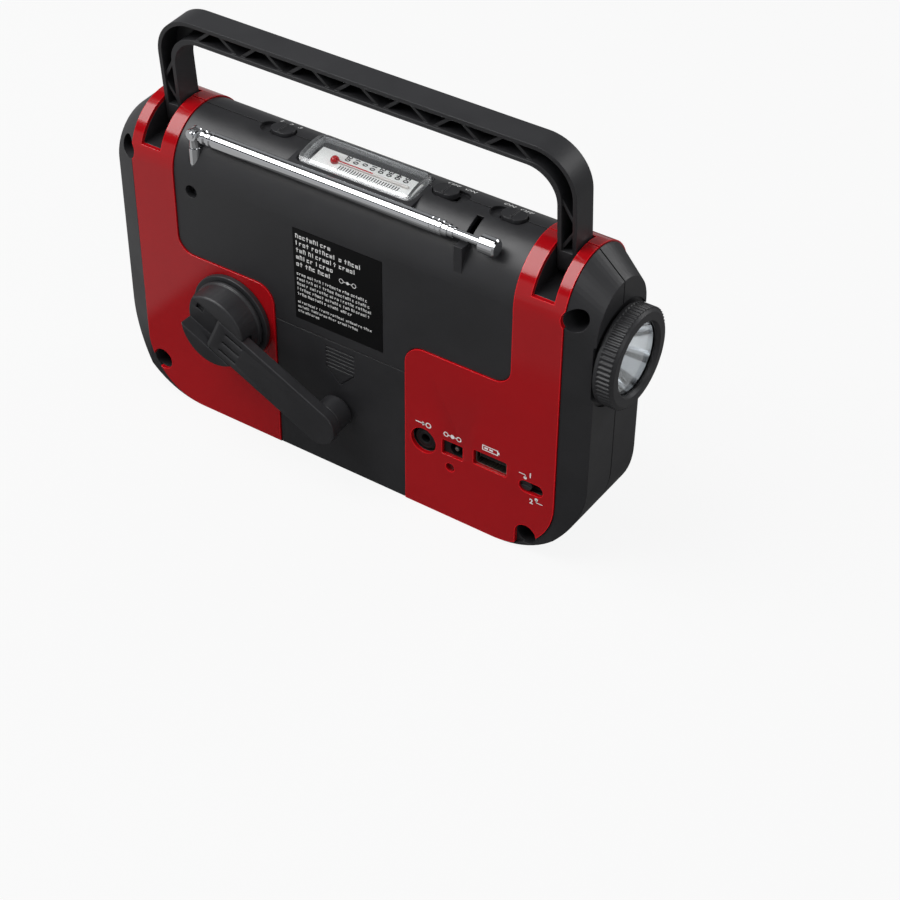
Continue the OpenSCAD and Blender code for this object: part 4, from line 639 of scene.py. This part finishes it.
class RADIO_OT_mouldings(bpy.types.Operator):
    """Rounds the edges of the trims, handle, crank, knobs, window and aerial stud"""
    bl_idname = "radio.mouldings"
    bl_label = "Mouldings"

    def execute(self, context):
        mats = bpy.data.materials
        trim_edge = context.scene.radio_look.trim_edge / MM
        for node in TRIMS:
            moulded(node, mats["abs_red_polished"], trim_edge, segments=3)
        for node, radius in BLACK_MOULDINGS.items():
            moulded(node, mats["abs_black_spark_eroded"], radius)
        moulded("thermometer_window", mats["polystyrene_clear_moulded"], 0.35, segments=3)
        moulded("antenna_base", mats["brass_chrome_plated"], 0.25)
        return {"FINISHED"}


class RADIO_OT_lamp(bpy.types.Operator):
    """Banded reflector of the end lamp"""
    bl_idname = "radio.lamp"
    bl_label = "Lamp"

    def execute(self, context):
        bands = context.scene.radio_look.bands
        low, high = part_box("lamp_reflector")
        back, front = low[0] / MM, high[0] / MM
        centre_z = (low[2] + high[2]) / 2
        throat, wall = 3.2, 0.85
        rim = (high[2] - low[2]) / 2 / MM - wall
        bowl = [
            (throat + (rim - throat) * math.sqrt(k / bands), back + (front - back) * k / bands)
            for k in range(bands + 1)
        ]
        profile = bowl + [(r + wall, h) for r, h in reversed(bowl)]
        to_end = Matrix.Translation((0, 0, centre_z)) @ Matrix.Rotation(math.radians(90), 4, "Y")
        bm = bmesh.new()
        lathe(bm, profile, to_end, sides=96)
        # Smooth round the bowl, sharp from band to band
        dish = obj_from(
            bm, "lamp_reflector_banded", bpy.data.materials["polymer_aluminised"],
            "case", smooth=4.5)
        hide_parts("lamp_reflector")
        return {"FINISHED"}


class RADIO_OT_thermometer(bpy.types.Operator):
    """Printed scale on the thermometer card"""
    bl_idname = "radio.thermometer"
    bl_label = "Thermometer"

    def execute(self, context):
        place = on_card(PRINT_LIFT)
        first, strokes, step, half = -9.2, 24, 1.1, 0.25
        stroke_top, short_foot, long_foot = -1.7, -4.2, -4.8
        numbers, number_step, number_y, number_tall = 8, 3.6, 2.7, 2.1
        coldest, each = -20, 10
        bm = bmesh.new()
        for k in range(strokes):
            x = first + step * k
            bar(bm, place, x - half, long_foot if k % 4 == 0 else short_foot, x + half, stroke_top)
        for k in range(numbers):
            text = str(abs(coldest + each * k))
            words(bm, place, text, first + number_step * k, number_y, number_tall, weight=0.1, turn=-90)
        obj_from(bm, "thermometer_scale", bpy.data.materials["ink_black_printed"], "case")
        return {"FINISHED"}


class RADIO_OT_label(bpy.types.Operator):
    """Strokes in the rhythm of print, without words, and a polarity sign on the rating label"""
    bl_idname = "radio.label"
    bl_label = "Label"

    def execute(self, context):
        low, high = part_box("rating_label")
        margin = 1.2
        left, right, top = low[0] / MM + margin, high[0] / MM - margin, high[2] / MM
        place = on_face(low[1] / MM - PRINT_LIFT)
        bm = bmesh.new()
        for row, (drop, tall, lengths) in enumerate(LABEL_ROWS):
            x = left
            for k, run in enumerate(lengths):
                x = marks(bm, place, x, top - drop - tall, tall, min(x + run, right), 2 * row + 3 * k)
        sign_x, sign_drop = (left + right) / 2 + 4.5, 14.9
        polarity(
            bm, place, sign_x, top - sign_drop, ring=1.0, hole=0.75, dot=0.65, lead=(0.6, 1.8), half=0.12)
        obj_from(bm, "rating_label_print", bpy.data.materials["ink_white_pad_printed"], "case")
        return {"FINISHED"}


class RADIO_OT_sockets(bpy.types.Operator):
    """Nylon ring, pin sleeve, contact tongue and plain signs of the sockets"""
    bl_idname = "radio.sockets"
    bl_label = "Sockets"

    def execute(self, context):
        mats = bpy.data.materials
        line_x, charge_x = middle("line_in_jack", 0), middle("usb_socket", 0)
        # Ring pressed into the nose of the line socket
        bm = bmesh.new()
        lathe(bm, RING_PROFILE, self.at_mouth("line_in_jack", line_x, MOUNTS["line_in"].z))
        obj_from(bm, "line_socket_ring", mats["nylon_black_moulded"], "case", smooth=30)
        # Sleeve over the centre pin of the power socket
        pin_inset = 3.3
        pin_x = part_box("dc_jack")[1][0] / MM - pin_inset
        bm = bmesh.new()
        lathe(bm, SLEEVE_PROFILE, self.at_mouth("dc_jack", pin_x, MOUNTS["power_in"].z), sides=32)
        obj_from(bm, "power_pin_sleeve", mats["steel_nickel_plated"], "case", smooth=40)
        # Tongue and four contacts of the charging socket
        sunk = 1.0
        self.charging(mats, charge_x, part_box("usb_socket")[0][1] / MM + sunk, MOUNTS["usb_out"].z)
        # Plain signs printed on the red panel
        bm = bmesh.new()
        place = on_face(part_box("rear_trim_right")[0][1] / MM - PRINT_LIFT)
        self.signs(bm, place, line_x, middle("dc_jack", 0), charge_x)
        obj_from(bm, "socket_signs", mats["ink_white_pad_printed"], "case")
        return {"FINISHED"}

    def at_mouth(self, node, x, z):
        """Turns local Z to the rear, at that place on the rear end of a socket."""
        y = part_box(node)[0][1] / MM
        return Matrix.Translation(Vector((x, y, z)) * MM) @ Matrix.Rotation(math.radians(90), 4, "X")

    def charging(self, mats, x, face, z):
        """Tongue of the charging socket with its contacts, the outer two longer."""
        half, lip, below, above, deep = 5.66, 0.05, 0.26, 1.76, 9.0
        bm = bmesh.new()
        block(bm, (x - half, face - lip, z - below), (x + half, face + deep, z + above))
        round_all(bm, 0.18)
        obj_from(bm, "charge_tongue", mats["nylon_black_moulded"], "case", smooth=40)
        pitch, strip, end, strip_low, strip_high = 2.4, 0.55, 8.4, 0.34, 0.24
        bm = bmesh.new()
        for k, start in enumerate((0.3, 0.9, 0.9, 0.3)):
            mid = x + (k - 1.5) * pitch
            block(bm, (mid - strip, face + start, z - strip_low), (mid + strip, face + end, z - strip_high))
        obj_from(bm, "charge_contacts", mats["bronze_gold_plated"], "case", smooth=30)

    def signs(self, bm, place, line_x, power_x, charge_x):
        """Arrow into a circle, polarity sign, cell outline and the two selector leads."""
        line_z, power_z, charge_z = 39.6, 39.2, 40.6
        circle, tail, shaft_end, half, barb_x, tip, barb = 2.2, 3.4, 0.9, 0.24, 0.4, 1.0, 1.0
        disc(bm, place, line_x + circle, line_z, 1.25, 0.8)
        bar(bm, place, line_x - tail, line_z - half, line_x + shaft_end, line_z + half)
        patch(bm, place, (
            (line_x - barb_x, line_z - barb), (line_x + tip, line_z), (line_x - barb_x, line_z + barb)))
        polarity(bm, place, power_x, power_z, ring=1.1, hole=0.7, dot=0.9, lead=(0.8, 1.7), half=0.19)
        for x0, z0, x1, z1 in CELL_SIGN:
            bar(bm, place, charge_x + x0, charge_z + z0, charge_x + x1, charge_z + z1)
        # A dot and a bent lead for each place of the selector, over and under its slot, and a number
        slot_x, slot_z = middle("selector_body", 0), middle("battery_selector", 2)
        dot_x, dot_z, bend_z, reach, half = 2.5, -4.0, -5.5, 5.2, 0.18
        number_x, number_z, number_tall = 0.4, -5.8, 2.2
        for way, number in ((-1, "1"), (1, "2")):
            def turned(x, z):
                return place(slot_x + way * x, slot_z + way * z)
            disc(bm, turned, dot_x, dot_z, 0.7)
            bar(bm, turned, dot_x - half, bend_z, dot_x + half, dot_z)
            bar(bm, turned, dot_x - half, bend_z, reach, bend_z + 2 * half)
            words(bm, place, number, slot_x + way * number_x, slot_z + way * number_z, number_tall, 0.09)


class RADIO_OT_top_print(bpy.types.Operator):
    """Print beside the three switches on the top"""
    bl_idname = "radio.top_print"
    bl_label = "Top print"

    def execute(self, context):
        place = on_top(PRINT_LIFT)
        row, number_tall, word_tall, weight = 6.6, 2.2, 2.1, 0.07
        first, pitch, off_x, on_x = -5.6, 4.2, -1.0, 6.0
        bm = bmesh.new()
        for k in range(3):
            x = middle("band_switch", 0) + first + pitch * k
            words(bm, place, str(k + 1), x, row, number_tall, weight)
        for name, way in (("power_switch", 1), ("lamp_switch", -1)):
            x = middle(name, 0)
            words(bm, place, "OFF", x + way * off_x, row, word_tall, weight)
            words(bm, place, "ON", x + way * on_x, row, word_tall, weight)
        obj_from(bm, "switch_print", bpy.data.materials["ink_white_pad_printed"], "case")
        return {"FINISHED"}


class RADIO_OT_front(bpy.types.Operator):
    """Speaker cloth, dial numbers and pointer lines on the front face"""
    bl_idname = "radio.front"
    bl_label = "Front"

    def execute(self, context):
        mats = bpy.data.materials
        self.cloth(mats["polyester_cloth_woven"])
        self.dial(mats["ink_white_pad_printed"])
        for node in ("tuning_knob", "volume_knob"):
            self.pointer(node, mats["ink_white_pad_printed"])
        return {"FINISHED"}

    def cloth(self, mat):
        """Cloth behind the bars of the grille, a little domed."""
        x, z = middle("speaker_grille", 0), middle("speaker_grille", 2)
        radius, crown, dome, rings, sides = 28.2, 18.95, 0.35, 6, 48
        bm = bmesh.new()
        rows = []
        for i in range(1, rings + 1):
            r, y = radius * i / rings, crown - dome * (i / rings) ** 2
            rows.append([bm.verts.new(Vector((x + r * c, y, z + r * s)) * MM) for c, s in spokes(sides)])
        hub = bm.verts.new(Vector((x, crown, z)) * MM)
        for k in range(sides):
            j = (k + 1) % sides
            bm.faces.new((hub, rows[0][j], rows[0][k]))
            for inner, outer in zip(rows, rows[1:]):
                bm.faces.new((inner[k], inner[j], outer[j], outer[k]))
        bmesh.ops.recalc_face_normals(bm, faces=bm.faces)
        obj_from(bm, "speaker_cloth", mat, "case", smooth=60)

    def dial(self, mat):
        """A ring of strokes with plain numbers round it, read from the front."""
        x, z = middle("dial_plate", 0), middle("dial_plate", 2)
        plane = on_face(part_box("dial_plate")[1][1] / MM + PRINT_LIFT)

        def read(u, w):
            return plane(x - u, z + w)

        strokes, start, step, half = 31, 225, 9, 0.14
        outer, short, long = 18.8, 17.8, 17.0
        number_r, number_tall, lowest, each = 21.4, 2.0, 88, 4
        bm = bmesh.new()
        for k in range(strokes):
            turn = math.radians(start - step * k)
            c, s = math.cos(turn), math.sin(turn)
            inner = short if k % 5 else long
            corners = ((inner, -half), (outer, -half), (outer, half), (inner, half))
            patch(bm, read, [(r * c - t * s, r * s + t * c) for r, t in corners])
            if k % 5 == 0:
                text = str(lowest + each * (k // 5))
                words(bm, read, text, number_r * c, number_r * s, number_tall, weight=0.05)
        obj_from(bm, "dial_numbers", mat, "case")

    def pointer(self, node, mat):
        """White line in the pointer groove of a knob."""
        low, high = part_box(node)
        x, z, r, face = middle(node, 0), middle(node, 2), (high[2] - low[2]) / 2 / MM, high[1] / MM
        half, floor, sunk, start, margin = 0.5, 0.62, 0.2, 0.38, 1.6
        bm = bmesh.new()
        block(bm, (x - half, face - floor, z + r * start), (x + half, face - sunk, z + r - margin))
        round_all(bm, 0.1)
        obj_from(bm, node + "_pointer", mat, body_of_node(node), smooth=40)


class RADIO_OT_stage(bpy.types.Operator):
    """Pale floor, soft studio light and the camera"""
    bl_idname = "radio.stage"
    bl_label = "Stage"

    def execute(self, context):
        scene = context.scene
        scene.view_settings.view_transform = "Standard"
        self.floor(scene)
        self.surround(scene)
        self.softboxes(scene)
        self.camera(scene)
        return {"FINISHED"}

    def link(self, scene, name, data):
        """Puts a new object of the stage into the scene."""
        clear_old(bpy.data.objects, name)
        obj = bpy.data.objects.new(name, data)
        scene.collection.objects.link(obj)
        return obj

    def floor(self, scene):
        """Matt paper, white to the camera with a trace of shadow; to reflections it glows with a painted
        shadow under the radio and painted light round it.
        """
        mat, tree, place = new_material("paper_white_matt")
        path = add(tree, "LightPath").node.outputs
        spot = add(tree, "SeparateXYZ", {0: place}).node.outputs
        matt = add(tree, "BsdfDiffuse", {"Color": linear("BFBFBF")})
        # To reflections the floor glows with painted light and shade: a painted shadow under the radio, and
        # paler painted light to the left, right and rear of it
        left = add(tree, "MapRange", {
            "Value": spot["X"], "From Min": -131.0, "From Max": -125.0, "To Min": 0.4, "To Max": 0.1})
        rear = add(tree, "MapRange", {
            "Value": spot["Y"], "From Min": -121.0, "From Max": -114.0, "To Min": 0.2, "To Max": 0.1})
        right = add(tree, "MapRange", {
            "Value": spot["X"], "From Min": 125.0, "From Max": 131.0, "To Min": 0.1, "To Max": 0.2})
        sides = add(tree, "Math", {0: left, 1: right}, operation="MAXIMUM")
        paper = add(tree, "Math", {0: sides, 1: rear}, operation="MAXIMUM")
        painted_floor_reflection = add(tree, "Emission", {"Strength": paper})
        bounce = add(tree, "MixShader", {0: path["Is Glossy Ray"], 1: matt, 2: painted_floor_reflection})
        # The rest, a tenth, is the matt paper and keeps the shadow
        white = 0.9
        direct = add(tree, "Math", {
            0: path["Is Camera Ray"], 1: path["Is Transmission Ray"]}, operation="MAXIMUM")
        part = add(tree, "Math", {0: direct, 1: white}, operation="MULTIPLY")
        add(tree, "OutputMaterial", {"Surface": add(tree, "MixShader", {
            0: part, 1: bounce, 2: add(tree, "Emission")})})
        half = 15.0
        bm = bmesh.new()
        corners = ((-half, -half), (half, -half), (half, half), (-half, half))
        bm.faces.new([bm.verts.new((x, y, 0)) for x, y in corners])
        mesh = bpy.data.meshes.new("floor")
        bm.to_mesh(mesh)
        bm.free()
        mesh.materials.append(mat)
        self.link(scene, "floor", mesh)

    def surround(self, scene):
        """Soft sky in bands about the long axis, with two gaps that draw dark lines along the chrome."""
        clear_old(bpy.data.worlds, "studio")
        world = bpy.data.worlds.new("studio")
        world.use_nodes = True
        tree = world.node_tree
        tree.nodes.clear()
        spot = add(tree, "SeparateXYZ", {0: add(tree, "TexCoord", out="Generated")}).node.outputs
        to_rear = add(tree, "Math", {0: spot["Y"], 1: -1.0}, operation="MULTIPLY")
        rise = add(tree, "Math", {0: spot["Z"], 1: to_rear}, operation="ARCTAN2")
        tones = add(tree, "ValToRGB", {"Fac": add(tree, "Math", {0: rise, 1: math.pi}, operation="DIVIDE")})
        # Degrees up from the rear horizon and over to the front one
        low, high, front, gap = (linear(code) for code in ("B0B1B3", "B4B5B7", "88898B", "1C1C1E"))
        stops = tones.node.color_ramp.elements
        stops[0].color, stops[1].color = low, front
        for degrees, tone in (
            (21, low), (24, gap), (41, gap), (44, high),
            (96, high), (100, gap), (121, gap), (124, front),
        ):
            stops.new(degrees / 180).color = tone
        # The camera sees plain white over the end of the floor
        path = add(tree, "LightPath", out="Is Camera Ray")
        sky = add(tree, "Mix", {
            "Factor": path, MIX_A: tones, MIX_B: linear("F6F6F6")}, MIX_OUT, data_type="RGBA")
        add(tree, "OutputWorld", {"Surface": add(tree, "Background", {"Color": sky})})
        scene.world = world

    def softboxes(self, scene):
        """Key from the upper left, with a weaker one behind and one at the lamp's end."""
        # Name, place, target and size in metres, watts
        boxes = (
            ("key_softbox", (-0.6, -0.5, 1.32), (0.0, 0.0, 0.1), (1.1, 1.3), 20.0),
            ("rim_softbox", (0.68, 1.0, 0.68), (0.1, 0.0, 0.12), (0.5, 0.5), 3.0),
            ("side_softbox", (1.15, -0.25, 0.75), (0.05, 0.0, 0.08), (0.5, 0.7), 1.6),
        )
        for name, place, aim, size, watts in boxes:
            light = bpy.data.lights.new(name, "AREA")
            light.shape = "RECTANGLE"
            light.size, light.size_y = size
            light.energy = watts
            lamp = self.link(scene, name, light)
            lamp.location = place
            lamp.rotation_euler = (Vector(aim) - Vector(place)).to_track_quat("-Z", "Y").to_euler()

    def camera(self, scene):
        """Camera at the photograph's place, as solved from the edges of the case."""
        place = Vector((377.6, -511.1, 511.8)) * MM
        azimuth, elevation, roll = (math.radians(v) for v in (33.79, 39.1, 0.7))
        data = bpy.data.cameras.new("camera")
        data.sensor_width = 36.0
        data.lens = 83.51
        data.clip_start = 0.05
        level = math.cos(elevation)
        ahead = Vector((-math.sin(azimuth) * level, math.cos(azimuth) * level, -math.sin(elevation)))
        right = Vector((math.cos(azimuth), math.sin(azimuth), 0))
        up = right.cross(ahead)
        side = right * math.cos(roll) + up * math.sin(roll)
        up = up * math.cos(roll) - right * math.sin(roll)
        camera = self.link(scene, "camera", data)
        camera.matrix_world = Matrix.Translation(place) @ Matrix((side, up, -ahead)).transposed().to_4x4()
        scene.camera = camera


class RADIO_PT_panel(bpy.types.Panel):
    """Lists the radio's sizes, colours and operators in the sidebar"""
    bl_idname = "RADIO_PT_panel"
    bl_label = "Radio"
    bl_space_type = "VIEW_3D"
    bl_region_type = "UI"
    bl_category = "Radio"

    def draw(self, context):
        look = context.scene.radio_look
        for name in look.__annotations__:
            self.layout.prop(look, name)
        for step in STEPS:
            self.layout.operator(step.bl_idname)


STEPS = (
    RADIO_OT_finishes, RADIO_OT_mouldings, RADIO_OT_lamp, RADIO_OT_thermometer, RADIO_OT_label,
    RADIO_OT_sockets, RADIO_OT_top_print, RADIO_OT_front, RADIO_OT_stage,
)
CLASSES = (RadioLook,) + STEPS + (RADIO_PT_panel,)


def register():
    for cls in CLASSES:
        bpy.utils.register_class(cls)
    bpy.types.Scene.radio_look = bpy.props.PointerProperty(type=RadioLook)


def unregister():
    del bpy.types.Scene.radio_look
    for cls in reversed(CLASSES):
        bpy.utils.unregister_class(cls)


def main():
    register()
    bpy.ops.radio.finishes()
    bpy.ops.radio.mouldings()
    bpy.ops.radio.lamp()
    bpy.ops.radio.thermometer()
    bpy.ops.radio.label()
    bpy.ops.radio.sockets()
    bpy.ops.radio.top_print()
    bpy.ops.radio.front()
    bpy.ops.radio.stage()
    bpy.context.view_layer.update()


if __name__ == "__main__":
    main()
